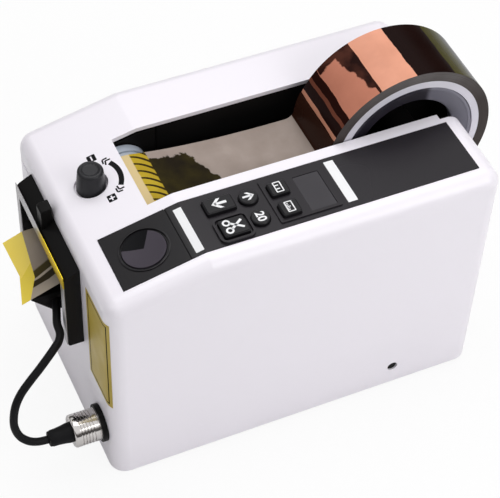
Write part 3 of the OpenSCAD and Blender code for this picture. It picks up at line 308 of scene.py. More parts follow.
steel = skin("steel", (0.58, 0.58, 0.59), (0.44, 0.44, 0.45), 0.22, 0.36, patches=60, grain=900,
             stretch=(0.06, 1, 1), Metallic=1.0)
rim_steel = skin("rim_steel", (0.46, 0.45, 0.46), (0.36, 0.35, 0.36), 0.3, 0.42, patches=40, grain=900,
                 bump=0.05, stretch=(1, 1, 0.08), Metallic=1.0)
brass = skin("brass", (0.6, 0.42, 0.16), (0.5, 0.34, 0.12), 0.25, 0.4, patches=60, Metallic=1.0)
print("finishes", len(bpy.data.materials))

# %% [markdown]
# Some finishes carry painted light that changes with the place. The panel is darker on the front slope, a
# painted shade because the slope faces away from the light. The start key carries a painted reflection of a
# dark quarter of the room in its dish. The polished rim of the guard carries a painted reflection of the
# yellow tape in front of it. The bent-down side of the tape tail is a deeper yellow, a painted shade, and
# the reel hub carries a painted reflection of a window on its rear side alone. A mask from the place mixes
# the second tone in.

# %% Tones that change with the place
DISH_X, DISH_Y = 40.0, -78.5
DARK_FROM, DARK_TO = math.radians(-72), math.radians(32)
GLEAM_START, GLEAM_FULL, GLEAM_Z = -11.0, 0.0, 115.5
CREASE_SLOPE, CREASE_X = -0.73, -97.7
PALE_Y, DARK_Y = 93.0, 89.0


def tint(finish, tone, where):
    tree = finish.node_tree
    base = tree.nodes["Principled BSDF"].inputs["Base Color"]
    first = base.links[0].from_socket
    place = place_on_piece(tree)[1]
    feed(tree, base, mix_tones(tree, where(tree, place), first, rgb(*tone)))


def on_slope(tree, place):
    return calc(tree, "LESS_THAN", place["Y"], FOLD_Y * MM)


def in_wedge(tree, place):
    side = calc(tree, "SUBTRACT", DISH_X * MM, place["X"])
    back = calc(tree, "SUBTRACT", place["Y"], DISH_Y * MM)
    angle = calc(tree, "ARCTAN2", back, side)
    return calc(tree, "MULTIPLY", calc(tree, "LESS_THAN", angle, DARK_TO),
                calc(tree, "GREATER_THAN", angle, DARK_FROM))


def by_tape(tree, place):
    fade = map_range(tree, place["X"], GLEAM_START * MM, GLEAM_FULL * MM, kind="SMOOTHSTEP")
    return calc(tree, "MULTIPLY", fade, calc(tree, "GREATER_THAN", place["Z"], GLEAM_Z * MM))


# Right of the crease the bent-down film gets a painted shade in deeper yellow.
def buckled_shade(tree, place):
    crease = calc(tree, "MULTIPLY_ADD", place["Y"], CREASE_SLOPE, CREASE_X * MM)
    return calc(tree, "GREATER_THAN", place["X"], crease)


def off_window(tree, place):
    return map_range(tree, place["Y"], PALE_Y * MM, DARK_Y * MM, kind="SMOOTHSTEP")


TINTS = [
    (panel_black, (0.0095, 0.0085, 0.01), on_slope), (hub_grey, (0.022, 0.019, 0.029), off_window),
    (start_grey, (0.004, 0.004, 0.005), in_wedge), (rim_steel, (0.62, 0.46, 0.02), by_tape),
    (tail_yellow, (0.76, 0.58, 0.035), buckled_shade)]
for finish, tone, where in TINTS:
    tint(finish, tone, where)
print("tinted", [finish.name for finish, tone, where in TINTS])

# %% [markdown]
# The tape shows hard-edged patches where it mirrors dark and light things, and their borders are never
# straight. This second group takes a distance to a border, shakes it with noise and turns it into a mask,
# so that the run of tape and the roll get the same kind of ragged edge.

# %% Node group for ragged borders
ragged_group, given, ragged_out = start_group(
    "ragged_border",
    [("Vector", "Vector", (0, 0, 0)), ("Distance", "Float", 0.0), ("Scale", "Float", 200.0),
     ("Spread", "Float", 0.004), ("Soft", "Float", 0.0008)],
    [("Mask", "Float")])
shake = calc(ragged_group, "SUBTRACT", noise(ragged_group, given["Vector"], given["Scale"], 4), 0.5)
moved = calc(ragged_group, "MULTIPLY_ADD", shake, given["Spread"], given["Distance"])
edge = calc(ragged_group, "DIVIDE", moved, given["Soft"])
mask = add_node(ragged_group, "Clamp")
feed(ragged_group, mask.inputs["Value"], calc(ragged_group, "ADD", edge, 0.5))
feed(ragged_group, ragged_out.inputs["Mask"], mask.outputs["Result"])
print("group", ragged_group.name, "made")


def ragged(tree, vector, distance, scale=200.0, spread=4.0, soft=0.8):
    node = add_node(tree, "Group", node_tree=ragged_group)
    feed_all(tree, node, {
        "Vector": vector, "Distance": distance, "Scale": scale, "Spread": spread * MM, "Soft": soft * MM})
    return node.outputs["Mask"]


STREAK_SCALE, STREAK_DETAIL = 60, 4
FILM_SHINE, FILM_IOR = 0.2, 1.22


def film_finish(name, low=0.16, high=0.34):
    finish, tree, shader = start_finish(name)
    spot, place = place_on_piece(tree)
    streaks = noise(tree, spot, STREAK_SCALE, STREAK_DETAIL)
    feed_all(tree, shader, {
        "Specular IOR Level": FILM_SHINE, "IOR": FILM_IOR,
        "Roughness": map_range(tree, streaks, 0, 1, low, high)})
    return finish, tree, spot, place, streaks


def paint(finish, tone):
    feed(finish.node_tree, finish.node_tree.nodes["Principled BSDF"].inputs["Base Color"], tone)


# %% [markdown]
# The tape is a clear amber film, and its tones here are painted light. Over the ribbed roller it is lit
# through: the ribs are painted light in yellow and the grooves a painted shade in dark. On the flat run it
# is a beige painted reflection, with one large dark olive patch behind the roller, also a painted
# reflection. In front of the crest it has a pale tan painted highlight, and where it meets the roll it has
# the dark painted reflection of the roll's first band. All of it is one film, so one finish reads the place
# along and across the run and picks the tone there.

# %% The amber film on its run
ROLLER_LEFT = span("feed_roller", "X")[0]
ROLLER_PITCH, ROLLER_TOP_Y = 5.4, -62.5
RIB_SWEEP, RIB_SHARE, RIB_START = 55.0, -22.0, -0.566
PATCH_LEFT, PATCH_Y, PATCH_SLOPE = -19.5, -23.1, 0.45
CREST_Y, RUN_Y, ROLL_Y = -61.2, -52.2, 31.8
film, tree, spot, place, streaks = film_finish("amber_film")
beside = calc(tree, "SUBTRACT", place["X"], PATCH_LEFT * MM)
border = calc(tree, "MULTIPLY_ADD", place["X"], PATCH_SLOPE, PATCH_Y * MM)
inside = calc(tree, "MINIMUM", beside, calc(tree, "SUBTRACT", border, place["Y"]))
patch = ragged(tree, spot, inside, scale=260, spread=7)
# Beige and olive are painted reflections on the run.
beige = tone_ramp(tree, streaks, [(0.3, (0.30, 0.245, 0.215)), (0.7, (0.38, 0.315, 0.28))])
olive = tone_ramp(tree, streaks, [(0.35, (0.012, 0.008, 0.003)), (0.65, (0.034, 0.026, 0.004))])
past_top = calc(tree, "SUBTRACT", place["Y"], ROLLER_TOP_Y * MM)
swept = calc(tree, "MULTIPLY", calc(tree, "MULTIPLY", past_top, past_top), RIB_SWEEP)
from_left = calc(tree, "SUBTRACT", calc(tree, "SUBTRACT", place["X"], ROLLER_LEFT * MM), swept)
turn = calc(tree, "DIVIDE", from_left, ROLLER_PITCH * MM)
ridge = calc(tree, "MULTIPLY_ADD", place["Y"], RIB_SHARE, RIB_START)
groove = calc(tree, "GREATER_THAN", calc(tree, "FRACT", turn), ridge)
amber = tone_ramp(tree, streaks, [(0.3, (0.36, 0.24, 0.014)), (0.7, (0.5, 0.36, 0.03))])
# Painted light on the ribs and painted shade in the grooves.
ribs = mix_tones(tree, groove, amber, rgb(0.035, 0.022, 0.004))
over_roller = ragged(tree, spot, calc(tree, "SUBTRACT", RUN_Y * MM, place["Y"]), spread=1, soft=0.4)
crest = ragged(tree, spot, calc(tree, "SUBTRACT", CREST_Y * MM, place["Y"]), spread=1, soft=0.5)
at_roll = calc(tree, "GREATER_THAN", place["Y"], ROLL_Y * MM)
tone = mix_tones(tree, over_roller, mix_tones(tree, patch, beige, olive), ribs)
# A pale tan painted highlight in front of the crest, and the roll's dark painted reflection where the film
# meets it.
tone = mix_tones(tree, crest, tone, rgb(0.66, 0.52, 0.27))
paint(film, mix_tones(tree, at_roll, tone, rgb(0.03, 0.011, 0.007)))
print("film finish", film.name, "nodes", len(tree.nodes))

# %% [markdown]
# On the roll the film lies in hundreds of turns, and the bands that run straight across are painted
# reflections of the room: copper, dark brown, copper again, maroon and a strip of olive. The angle round the
# reel axle places the bands, as a share of the whole turn. A torn, darker piece lies over the second copper
# band. The side of the roll shows the edges of the turns, as rings by the distance from the axle, with
# painted light on its upper part and a painted shade on its lower part.

# %% The wound film
SECOND_START, SECOND_END = 0.815, 0.886
TEAR_START, TEAR_LEAN, TEAR_X, TEAR_SLOPE, TEAR_LEFT = 0.8205, 0.3, 12.5, 0.27, -20.5
WOBBLE, WINDING_R = 0.009, 48.28
LIT_LOW, LIT_HIGH = 18.0, 47.0
BANDS = [
    (0.0, (0.030, 0.010, 0.007)), (0.12, (0.30, 0.12, 0.08)), (0.22, (0.03, 0.01, 0.007)),
    (0.34, (0.22, 0.09, 0.06)), (0.40, (0.006, 0.003, 0.002)), (0.628, (0.05, 0.044, 0.004)),
    (0.668, (0.009, 0.0022, 0.0015)), (0.750, (0.80, 0.37, 0.25)), (SECOND_START, (0.016, 0.004, 0.003)),
    (0.819, (0.56, 0.22, 0.145)), (SECOND_END, (0.02, 0.005, 0.0035)), (0.902, (0.16, 0.05, 0.03)),
    (0.909, (0.014, 0.004, 0.003)), (0.927, (0.58, 0.26, 0.17)), (0.934, (0.018, 0.006, 0.004))]
wound, tree, spot, place, streaks = film_finish("wound_film", 0.14, 0.3)
rise = calc(tree, "SUBTRACT", place["Z"], REEL_Z * MM)
reach = calc(tree, "SUBTRACT", place["Y"], REEL_Y * MM)
share = calc(tree, "MULTIPLY_ADD", calc(tree, "ARCTAN2", rise, reach), 1 / math.tau, 0.5)
shake = calc(tree, "SUBTRACT", noise(tree, spot, 70, 2), 0.5)
bent = calc(tree, "MULTIPLY_ADD", shake, WOBBLE, share)
bands = tone_ramp(tree, bent, BANDS, "CONSTANT")
second = calc(tree, "MULTIPLY", calc(tree, "GREATER_THAN", bent, SECOND_START),
              calc(tree, "LESS_THAN", bent, SECOND_END))
past = calc(tree, "MULTIPLY", calc(tree, "SUBTRACT", TEAR_START, bent), TEAR_LEAN)
aslant = calc(tree, "MULTIPLY_ADD", calc(tree, "SUBTRACT", TEAR_X * MM, place["X"]), TEAR_SLOPE, past)
beyond = calc(tree, "SUBTRACT", TEAR_LEFT * MM, place["X"])
torn = ragged(tree, spot, calc(tree, "MAXIMUM", aslant, beyond), scale=170, spread=7)
shred = tone_ramp(tree, streaks, [(0.44, (0.016, 0.004, 0.003)), (0.6, (0.07, 0.022, 0.014))])
bands = mix_tones(tree, calc(tree, "MULTIPLY", second, torn), bands, shred)
# The painted reflection bands get random streaks that darken them a little.
deepen = tone_ramp(tree, streaks, [(0.3, (0.86, 0.84, 0.83)), (0.7, (1, 1, 1))])
streaked_reflections = mix_tones(tree, 1.0, bands, deepen, "MULTIPLY")
squares = calc(tree, "ADD", calc(tree, "MULTIPLY", rise, rise), calc(tree, "MULTIPLY", reach, reach))
radius = calc(tree, "SQRT", squares)
rings = add_node(tree, "TexNoise", noise_dimensions="1D")
feed_all(tree, rings, {"W": radius, "Scale": 2600, "Detail": 3})
edges = mix_tones(tree, rings.outputs["Fac"], rgb(0.05, 0.044, 0.042), rgb(0.25, 0.235, 0.235))
# Painted light on the upper side of the roll, painted shade lower down.
high = map_range(tree, rise, LIT_LOW * MM, LIT_HIGH * MM)
lit = calc(tree, "MULTIPLY", high, calc(tree, "ADD", streaks, 0.3))
shaded = mix_tones(tree, lit, mix_tones(tree, 0.75, edges, rgb(0.024, 0.014, 0.011)), edges)
outside = calc(tree, "GREATER_THAN", radius, WINDING_R * MM)
paint(wound, mix_tones(tree, outside, shaded, streaked_reflections))
print("wound finish", wound.name, "bands", len(BANDS))

# %% [markdown]
# Between the guard and its crease the tape tail turns away from the light. Its grey-beige is a painted
# shade, with dark stripes of painted shade along it where the slack film buckles, and a yellow edge where it
# leaves the guard.

# %% The film of the tail
YELLOW_EDGE_Y = -114.6
# Grey-beige tones and dark stripes of painted shade on the turned-away film.
STRIPES = [
    (0.0, (0.34, 0.28, 0.20)), (0.30, (0.31, 0.26, 0.21)), (0.55, (0.26, 0.215, 0.175)),
    (0.57, (0.055, 0.042, 0.012)), (0.66, (0.045, 0.034, 0.01)), (0.67, (0.42, 0.36, 0.29)),
    (0.70, (0.40, 0.34, 0.27)), (0.71, (0.028, 0.02, 0.008)), (0.81, (0.03, 0.022, 0.008)),
    (0.82, (0.34, 0.29, 0.235)), (1.0, (0.38, 0.33, 0.27))]
tail_grey, tree, spot, place, streaks = film_finish("tail_grey")
stripes = tone_ramp(tree, map_range(tree, place["X"], TAIL_LEFT * MM, TAIL_RIGHT * MM), STRIPES)
at_guard = ragged(tree, spot, calc(tree, "SUBTRACT", place["Y"], YELLOW_EDGE_Y * MM), spread=1.2, soft=0.5)
paint(tail_grey, mix_tones(tree, at_guard, stripes, rgb(0.62, 0.46, 0.02)))
print("tail finish", tail_grey.name, "stripes", len(STRIPES))

# %% [markdown]
# A solid from the frame has knife edges and loose triangles. Real edges catch a thread of light, so
# each visible solid is copied, its points are merged and its flat faces joined, and a narrow bevel
# with weighted normals softens its edges. The copy stands for the solid and rides on the same body.

# %% Dress a solid
TOUCHING = 0.001
FLAT = math.radians(0.5)
SHARP = 35


def clean_mesh(piece):
    only(piece)
    bpy.ops.object.mode_set(mode="EDIT")
    bpy.ops.mesh.select_all(action="SELECT")
    bpy.ops.mesh.remove_doubles(threshold=TOUCHING * MM)
    bpy.ops.mesh.dissolve_limited(angle_limit=FLAT)
    bpy.ops.object.mode_set(mode="OBJECT")


def soften_edges(piece, width, segments, angle):
    soften = piece.modifiers.new("soften", "BEVEL")
    soften.width = width * MM
    soften.segments = segments
    soften.limit_method = "ANGLE"
    soften.angle_limit = math.radians(angle)
    bpy.ops.object.modifier_apply(modifier="soften")


def dress(node, finish, bevel):
    solid = frame["nodes"][node]
    only(solid)
    bpy.ops.object.duplicate()
    piece = bpy.context.object
    del piece["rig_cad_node"]
    piece.name = node + "_dressed"
    piece.data.materials.clear()
    piece.data.materials.append(finish)
    clean_mesh(piece)
    if bevel:
        soften_edges(piece, bevel, segments=2, angle=SHARP)
    bpy.ops.object.shade_smooth_by_angle(angle=math.radians(SHARP))
    weighted = piece.modifiers.new("weighted", "WEIGHTED_NORMAL")
    weighted.keep_sharp = True
    bpy.ops.object.modifier_apply(modifier="weighted")
    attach(piece, solid["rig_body"])
    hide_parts(node)
    return piece


DRESSED = [
    ("upper_housing", shell_white, 0.4), ("base_plate", paint_grey, 0.3), ("rubber_feet", rubber_black, 0.6),
    ("well_liner", well_black, 0.3), ("control_panel", panel_black, 0.25),
    ("display_window", window_smoke, 0.1), ("mech_plate_left", guard_black, 0.2),
    ("mech_plate_right", guard_black, 0.2), ("tape_guide", steel, 0.2), ("blade_bar", paint_grey, 0.3),
    ("fixed_blade", steel, 0.05), ("moving_blade", steel, 0.05), ("blade_carrier", paint_grey, 0.3),
    ("cutter_guard", guard_black, 0.5), ("guard_rim", rim_steel, 0.15), ("guard_latch", guard_black, 0.5),
    ("tape_sensor", guard_black, 0.5), ("sensor_socket", guard_black, 0.4),
    ("power_inlet", guard_black, 0.3), ("switch_frame", guard_black, 0.4), ("power_rocker", key_black, 0.5),
    ("tape_core", card_white, 0.15), ("tape_roll", wound, 0.15), ("reel_axle", steel, 0.3),
    ("feed_roller", roller_grey, 0.15), ("feed_shaft", steel, 0.2), ("start_key", start_grey, 0.4),
    ("reverse_key", key_black, 0.6), ("cut_key", key_black, 0.6), ("forward_key", key_black, 0.6),
    ("preset_key", key_black, 0.6), ("long_unit_key", key_black, 0.6), ("short_unit_key", key_black, 0.6),
    ("pinch_roller", rubber_black, 0.2), ("pinch_yoke", steel, 0.1), ("pressure_knob", knob_black, 0.5),
    ("case_screws", guard_black, 0.2), ("tape_lead", film, 0)]
dressed = {node: dress(node, finish, bevel) for node, finish, bevel in DRESSED}
print("dressed", len(dressed), "faces", sum(len(p.data.polygons) for p in dressed.values()))

# %% [markdown]
# The solids inside the housing show little, so they keep the frame's own meshes and get a finish only.
# Those that are made anew further on get theirs here too, so that no solid is left plain.

# %% Finishes of the inner solids
INNER = {
    "circuit_board": board_green, "plate_spacers": steel, "feed_bearings": brass, "feed_motor": steel,
    "cutter_motor": steel, "yoke_pivots": steel, "feed_gear": gear_acetal, "motor_gear": gear_acetal,
    "pinch_axle": steel, "pressure_screw": steel, "pressure_nut": brass, "pressure_spring": steel,
    "cutter_cam": gear_acetal, "cam_shaft": steel, "return_springs": steel, "sensor_plug": plug_chrome,
    "plug_boot": lead_black, "sensor_cable": lead_black, "reel_hub": hub_grey}
for node, finish in INNER.items():
    frame["nodes"][node].data.materials.clear()
    frame["nodes"][node].data.materials.append(finish)
print("inner solids", len(INNER))

# %% [markdown]
# The springs change length with their joints: the pressure spring is squeezed when the nut comes down, and
# the return springs are drawn out when the blade goes up. Here each spring is dressed like the other solids,
# freed from its body and baked in its rest place, so it keeps its rest length.

# %% Springs at rest
for node, mover in (("pressure_spring", "nut"), ("return_springs", "cutter")):
    spring = dress(node, steel, 0)
    bpy.ops.object.parent_clear(type="CLEAR_KEEP_TRANSFORM")
    low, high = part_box(node)
    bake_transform(spring)
    print(node, "between case and", mover, "faces", len(spring.data.polygons))

# %% [markdown]
# The tail of the tape is a piece that has just been cut, and waits to be taken. So the film stops at the
# moving blade, leaves the blade's thickness free, and goes on to the guard. Both parts are copies of the
# solid film, trimmed with planes.

# %% Film on both sides of the blade
BLADE_ROOM = 0.2


def trim(piece, at, outward):
    only(piece)
    bpy.ops.object.mode_set(mode="EDIT")
    bpy.ops.mesh.select_all(action="SELECT")
    bpy.ops.mesh.bisect(plane_co=(0, at * MM, 0), plane_no=(0, outward, 0), use_fill=True, clear_outer=True)
    bpy.ops.object.mode_set(mode="OBJECT")


lead_film = dressed["tape_lead"]
only(lead_film)
bpy.ops.object.duplicate()
cut_end = bpy.context.object
cut_end.name = "tape_cut_end"
blade_front, blade_rear = span("moving_blade", "Y")
trim(lead_film, blade_rear + BLADE_ROOM, -1)
trim(cut_end, blade_front - BLADE_ROOM, 1)
trim(cut_end, TAIL_Y, -1)
print("film faces", len(lead_film.data.polygons), "cut end faces", len(cut_end.data.polygons))

# %% [markdown]
# In front of the guard the tail is not flat: it has been folded by hand. A crease runs slantwise over it,
# and the right-hand part buckles down. A grid of three by three points is enough for such folds. The faces
# in front of the crease are the bright yellow end.

# %% Folded tape tail
FILM_SEEN, CREASE_SHARP = 0.2, 24
FOLDS = [
    [(TAIL_LEFT, -132.3, 101.1), (-4.4, -130.5, 96.2), (15.8, -136.0, 97.9)],
    [(TAIL_LEFT, -121.5, 105.5), (0.5, -123.8, 97.6), (TAIL_RIGHT, -130.9, 98.4)],
    [(TAIL_LEFT, TAIL_Y, TAIL_Z), (0.5, TAIL_Y, TAIL_Z), (TAIL_RIGHT, TAIL_Y, TAIL_Z)]]
bpy.ops.object.select_all(action="DESELECT")
bpy.ops.mesh.primitive_grid_add(x_subdivisions=2, y_subdivisions=2, size=2)
tail = bpy.context.object
bpy.ops.object.mode_set(mode="EDIT")
bpy.ops.mesh.select_all(action="DESELECT")
bpy.ops.object.mode_set(mode="OBJECT")
targets = [Vector(point) * MM for row in FOLDS for point in row]
for index, target in enumerate(targets):
    start = tail.data.vertices[index].co.copy()
    for vertex in tail.data.vertices:
        vertex.select = vertex.index == index
    bpy.ops.object.mode_set(mode="EDIT")
    bpy.ops.transform.translate(value=target - start)
    bpy.ops.object.mode_set(mode="OBJECT")
tail.data.materials.append(tail_grey)
tail.data.materials.append(tail_yellow)
in_front = len(FOLDS[0]) + len(FOLDS[1])
for face in tail.data.polygons:
    face.material_index = 1 if all(index < in_front for index in face.vertices) else 0
wall = tail.modifiers.new("wall", "SOLIDIFY")
wall.thickness = FILM_SEEN * MM
wall.offset = 0
bpy.ops.object.modifier_apply(modifier="wall")
bpy.ops.object.shade_smooth_by_angle(angle=math.radians(CREASE_SHARP))
tail.name = "tape_tail"
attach(tail, frame["nodes"]["tape_lead"]["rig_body"])
print("tail faces", len(tail.data.polygons))

# %% [markdown]
# The connector's plug is a turned part: a bright shell with rounded ends and a band of fine grip rings in
# the middle. A lathe makes it by turning one profile, and so does this cell: a circle is extruded along
# the axis ring by ring and scaled to each radius. The rubber boot on the cable and the contact pin of the
# power inlet at the rear are made in the same way.

# %% Turned plug and boot
SIDES, TURNED_SHARP = 96, 40


def turn_profile(name, axis, centre, profile, finish, node, instead=True):
    bpy.ops.object.select_all(action="DESELECT")
    along = Vector((1, 0, 0)) if axis == "X" else Vector((0, 1, 0))
    facing = (0, math.radians(90), 0) if axis == "X" else (math.radians(90), 0, 0)
    centre = Vector(centre) * MM
    radius, at = profile[0]
    closed = profile[0] == profile[-1]
    bpy.ops.mesh.primitive_circle_add(
        vertices=SIDES, radius=radius * MM, fill_type="NOTHING" if closed else "NGON",
        location=centre + along * at * MM, rotation=facing)
    piece = bpy.context.object
    piece.name = name
    bpy.ops.object.transform_apply(location=True, rotation=True, scale=True)
    bpy.ops.object.mode_set(mode="EDIT")
    bpy.ops.mesh.select_all(action="SELECT")
    for next_radius, next_at in profile[1:]:
        bpy.ops.mesh.extrude_region_move(TRANSFORM_OT_translate={"value": along * (next_at - at) * MM})
        grow = next_radius / radius
        bpy.ops.transform.resize(
            value=(1, grow, grow) if axis == "X" else (grow, 1, grow),
            center_override=centre + along * next_at * MM)
        radius, at = next_radius, next_at
    bpy.ops.mesh.select_all(action="SELECT")
    bpy.ops.mesh.remove_doubles(threshold=TOUCHING * MM)
    bpy.ops.mesh.normals_make_consistent(inside=False)
    bpy.ops.object.mode_set(mode="OBJECT")
    bpy.ops.object.shade_smooth_by_angle(angle=math.radians(TURNED_SHARP))
    piece.data.materials.append(finish)
    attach(piece, frame["nodes"][node]["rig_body"])
    if instead:
        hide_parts(node)
    return piece


PLUG_X, PLUG_Z = middle("plug_boot")[::2]
PLUG_TIP = Vector((PLUG_X, span("sensor_plug", "Y")[0], PLUG_Z))
BOOT_END = Vector((PLUG_X, span("plug_boot", "Y")[0], PLUG_Z))
INLET_X, INLET_Z = middle("power_inlet")[::2]
BARREL_R, GROOVE_R = 9.0, 8.3
RINGS, RING_PITCH, RING_START = 5, 1.7, 3.4
SHELL = [(7.6, 0.0), (8.3, 0.0), (8.8, 0.4), (BARREL_R, 1.0), (BARREL_R, RING_START)]
for ring in range(RINGS):
    y = RING_START + ring * RING_PITCH
    SHELL += [(GROOVE_R, y + 0.15), (GROOVE_R, y + 0.65), (BARREL_R, y + 0.8), (BARREL_R, y + RING_PITCH)]
SHELL += [(BARREL_R, 13.4), (8.7, 13.6), (8.7, 14.0), (BARREL_R, 14.2), (BARREL_R, 14.5)]
BOOT = [(3.3, 0.0), (3.9, 0.0), (4.1, 0.2), (4.3, 1.3), (4.5, 1.6), (4.6, 4.5), (5.0, 8.1), (5.4, 10.3),
        (5.5, 11.1), (5.5, 12.5)]
PIN = [(0.4, 105.4), (0.9, 105.2), (1.1, 104.7), (1.1, 97.3)]
shell = turn_profile("plug_shell", "Y", PLUG_TIP, SHELL, plug_chrome, "sensor_plug")
boot = turn_profile("plug_boot_sleeve", "Y", BOOT_END, BOOT, lead_black, "plug_boot")
pin = turn_profile("inlet_pin", "Y", (INLET_X, 0, INLET_Z), PIN, steel, "power_inlet", instead=False)
print("turned faces", [len(piece.data.polygons) for piece in (shell, boot, pin)])

# %% [markdown]
# The reel hub is turned too. Its grey face falls a little from the paper core to the mouth of a deep cup,
# where a boss carries the axle. The cup is black, a painted shade for its deep recess. Both profiles close
# on themselves, so each part is a ring.

# %% Turned reel hub
REEL_AXIS = (0, REEL_Y, REEL_Z)
HUB_END, HUB_FRONT = span("reel_hub", "X")
HUB_R, MOUTH_R, FACE_BACK = 38.05, 27.6, 7.2
BORE_R, BOSS_R, CUP_FLOOR = 3.6, 10.0, -8.0
FACE = [
    (HUB_R, 13.6), (37.6, HUB_FRONT), (36.2, HUB_FRONT), (35.6, 13.6), (28.4, 12.4), (MOUTH_R, 11.6),
    (MOUTH_R, FACE_BACK), (HUB_R, FACE_BACK), (HUB_R, 13.6)]
CUP = [
    (HUB_R, FACE_BACK), (MOUTH_R, FACE_BACK), (27.2, CUP_FLOOR), (10.6, CUP_FLOOR), (BOSS_R, -7.4),
    (BOSS_R, 13.4), (9.4, 14.0), (BORE_R, 14.0), (BORE_R, HUB_END), (40.2, HUB_END), (40.6, -27.4),
    (40.6, -25.35), (HUB_R, -25.35), (HUB_R, FACE_BACK)]
face = turn_profile("reel_hub_face", "X", REEL_AXIS, FACE, hub_grey, "reel_hub")
cup = turn_profile("reel_hub_cup", "X", REEL_AXIS, CUP, well_black, "reel_hub")
print("hub faces", len(face.data.polygons) + len(cup.data.polygons))

# %% [markdown]
# The sensor lead is the one free cord. It leaves the boot level, bends up and back round the guard and
# ends in the sensor block under the tape. Its points repeat the route of the solid, in millimetres
# from the boot and from the sensor, and a smooth curve through them is its centreline.

# %% Sensor lead
LEAD_D = 4.4
SENSOR_FACE = Vector((span("tape_sensor", "X")[1], *middle("tape_sensor")[1:]))
NEAR_BOOT = [(0, 0, 0), (-0.2, -5.7, 0.8), (-0.8, -10.5, 3.2), (-2.2, -14.4, 7.5), (-3.4, -16.3, 14),
             (-4.5, -16.1, 20.5), (-6.2, -14, 28), (-8.4, -9.9, 33.8), (-10.5, -4, 39), (-12.5, 2, 43.5)]
NEAR_SENSOR = [(36, -16, -10), (33.5, -11.8, -7.9), (31, -8.8, -7.1), (27.5, -6.8, -5.5), (23, -6.6, -2.7),
               (17.5, -4.8, -1.4), (12, -3, -0.5), (6, -0.6, 0), (0, 0, 0)]
knots = [BOOT_END + Vector(p) for p in NEAR_BOOT] + [SENSOR_FACE + Vector(p) for p in NEAR_SENSOR]


def smooth_route(points, steps):
    route = []
    for i in range(len(points) - 1):
        a, b = points[max(i - 1, 0)], points[i]
        c, d = points[i + 1], points[min(i + 2, len(points) - 1)]
        for k in range(steps):
            t = k / steps
            route.append(0.5 * (2 * b + (c - a) * t + (2 * a - 5 * b + 4 * c - d) * t ** 2
                                + (3 * b - a - 3 * c + d) * t ** 3))
    return route + [points[-1]]


def poly_line(curve, points):
    line = curve.splines.new("POLY")
    line.points.add(len(points) - 1)
    for point, where in zip(line.points, points):
        point.co = (*where, 1)
    return line


route = [p * MM for p in smooth_route(knots, 6)]
lead_curve = bpy.data.curves.new("sensor_lead", "CURVE")
lead_curve.dimensions = "3D"
poly_line(lead_curve, route)
lead_curve.bevel_depth = LEAD_D / 2 * MM
lead_curve.bevel_resolution = 5
lead_curve.use_fill_caps = True
lead_curve.materials.append(lead_black)
lead = bpy.data.objects.new("sensor_lead", lead_curve)
bpy.context.collection.objects.link(lead)
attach(lead, "case")
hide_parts("sensor_cable")

# %% [markdown]
# Marks on the machine are printed ink, a few hundredths of a millimetre thick. Each is drawn as a flat
# outline in millimetres, made a mesh, and laid on its surface: level on the rear part of the roof, or
# tilted on the front slope. An image texture would do as well, but outlines stay sharp at any distance.

# %% Helpers for printed marks
INK = 0.08


def roof_height(y):
    return ROOF_Z - math.tan(SLOPE) * max(0.0, FOLD_Y - y)


def arc(x, y, radius, start, end, steps):
    angles = [math.radians(start + (end - start) * k / steps) for k in range(steps + 1)]
    return [(x + radius * math.cos(a), y + radius * math.sin(a)) for a in angles]


def disc(x, y, radius, sides=32):
    return arc(x, y, radius, 0, 360, sides)[:-1]


def bar(x0, y0, x1, y1, width):
    across = Vector((y0 - y1, x1 - x0)).normalized() * width / 2
    return [(x0 + across.x, y0 + across.y), (x0 - across.x, y0 - across.y),
            (x1 - across.x, y1 - across.y), (x1 + across.x, y1 + across.y)]


def oblong(x0, x1, y0, y1):
    return [(x0, y0), (x1, y0), (x1, y1), (x0, y1)]


def rounded(x0, x1, y0, y1, radius):
    corners = oblong(x0 + radius, x1 - radius, y0 + radius, y1 - radius)
    first_angles = (180, 270, 0, 90)
    return [point for (x, y), a in zip(corners, first_angles) for point in arc(x, y, radius, a, a + 90, 5)]


def arc_band(inner, outer, start, end, steps=20):
    return arc(0, 0, outer, start, end, steps) + arc(0, 0, inner, end, start, steps)


def as_mesh(name, curve):
    piece = bpy.data.objects.new(name, curve)
    bpy.context.collection.objects.link(piece)
    only(piece)
    bpy.ops.object.convert(target="MESH")
    return bpy.context.object


def settle(piece, name, at, finish, node, tilt=0.0, swing=0.0):
    piece.name = name
    piece.scale = (MM, MM, MM)
    piece.rotation_euler = (tilt, 0, swing)
    piece.location = Vector(at) * MM
    bpy.ops.object.transform_apply(location=True, rotation=True, scale=True)
    piece.data.materials.clear()
    piece.data.materials.append(finish)
    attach(piece, frame["nodes"][node]["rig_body"])
    return piece


def print_mark(name, shapes, at, finish, node, tilt=0.0, swing=0.0, thick=INK):
    parts = []
    for outlines in shapes:
        curve = bpy.data.curves.new(name, "CURVE")
        curve.dimensions = "2D"
        curve.fill_mode = "BOTH"
        curve.extrude = thick / 2
        for outline in outlines:
            line = poly_line(curve, [(x, y, 0) for x, y in outline])
            line.use_cyclic_u = True
        parts.append(as_mesh(name, curve))
    only(parts[0])
    for part in parts[1:]:
        part.select_set(True)
    if len(parts) > 1:
        bpy.ops.object.join()
    return settle(bpy.context.object, name, at, finish, node, tilt, swing)


print("ink", INK, "mm thick")

# %% [markdown]
# The keys carry plain signs: an arrow to pull the tape back, an arrow to feed it, scissors to cut, a
# number for the preset length and ruler marks for the coarse and the fine unit. They are drawn about the
# middle of each key, to be read from the front, and move with the key.

# %% Signs on the keys
KEY_LIFT = 0.03
SMALL = 0.78


def key_top(node):
    low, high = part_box(node)
    return (low[0] + high[0]) / 2 / MM, (low[1] + high[1]) / 2 / MM, high[2] / MM + KEY_LIFT


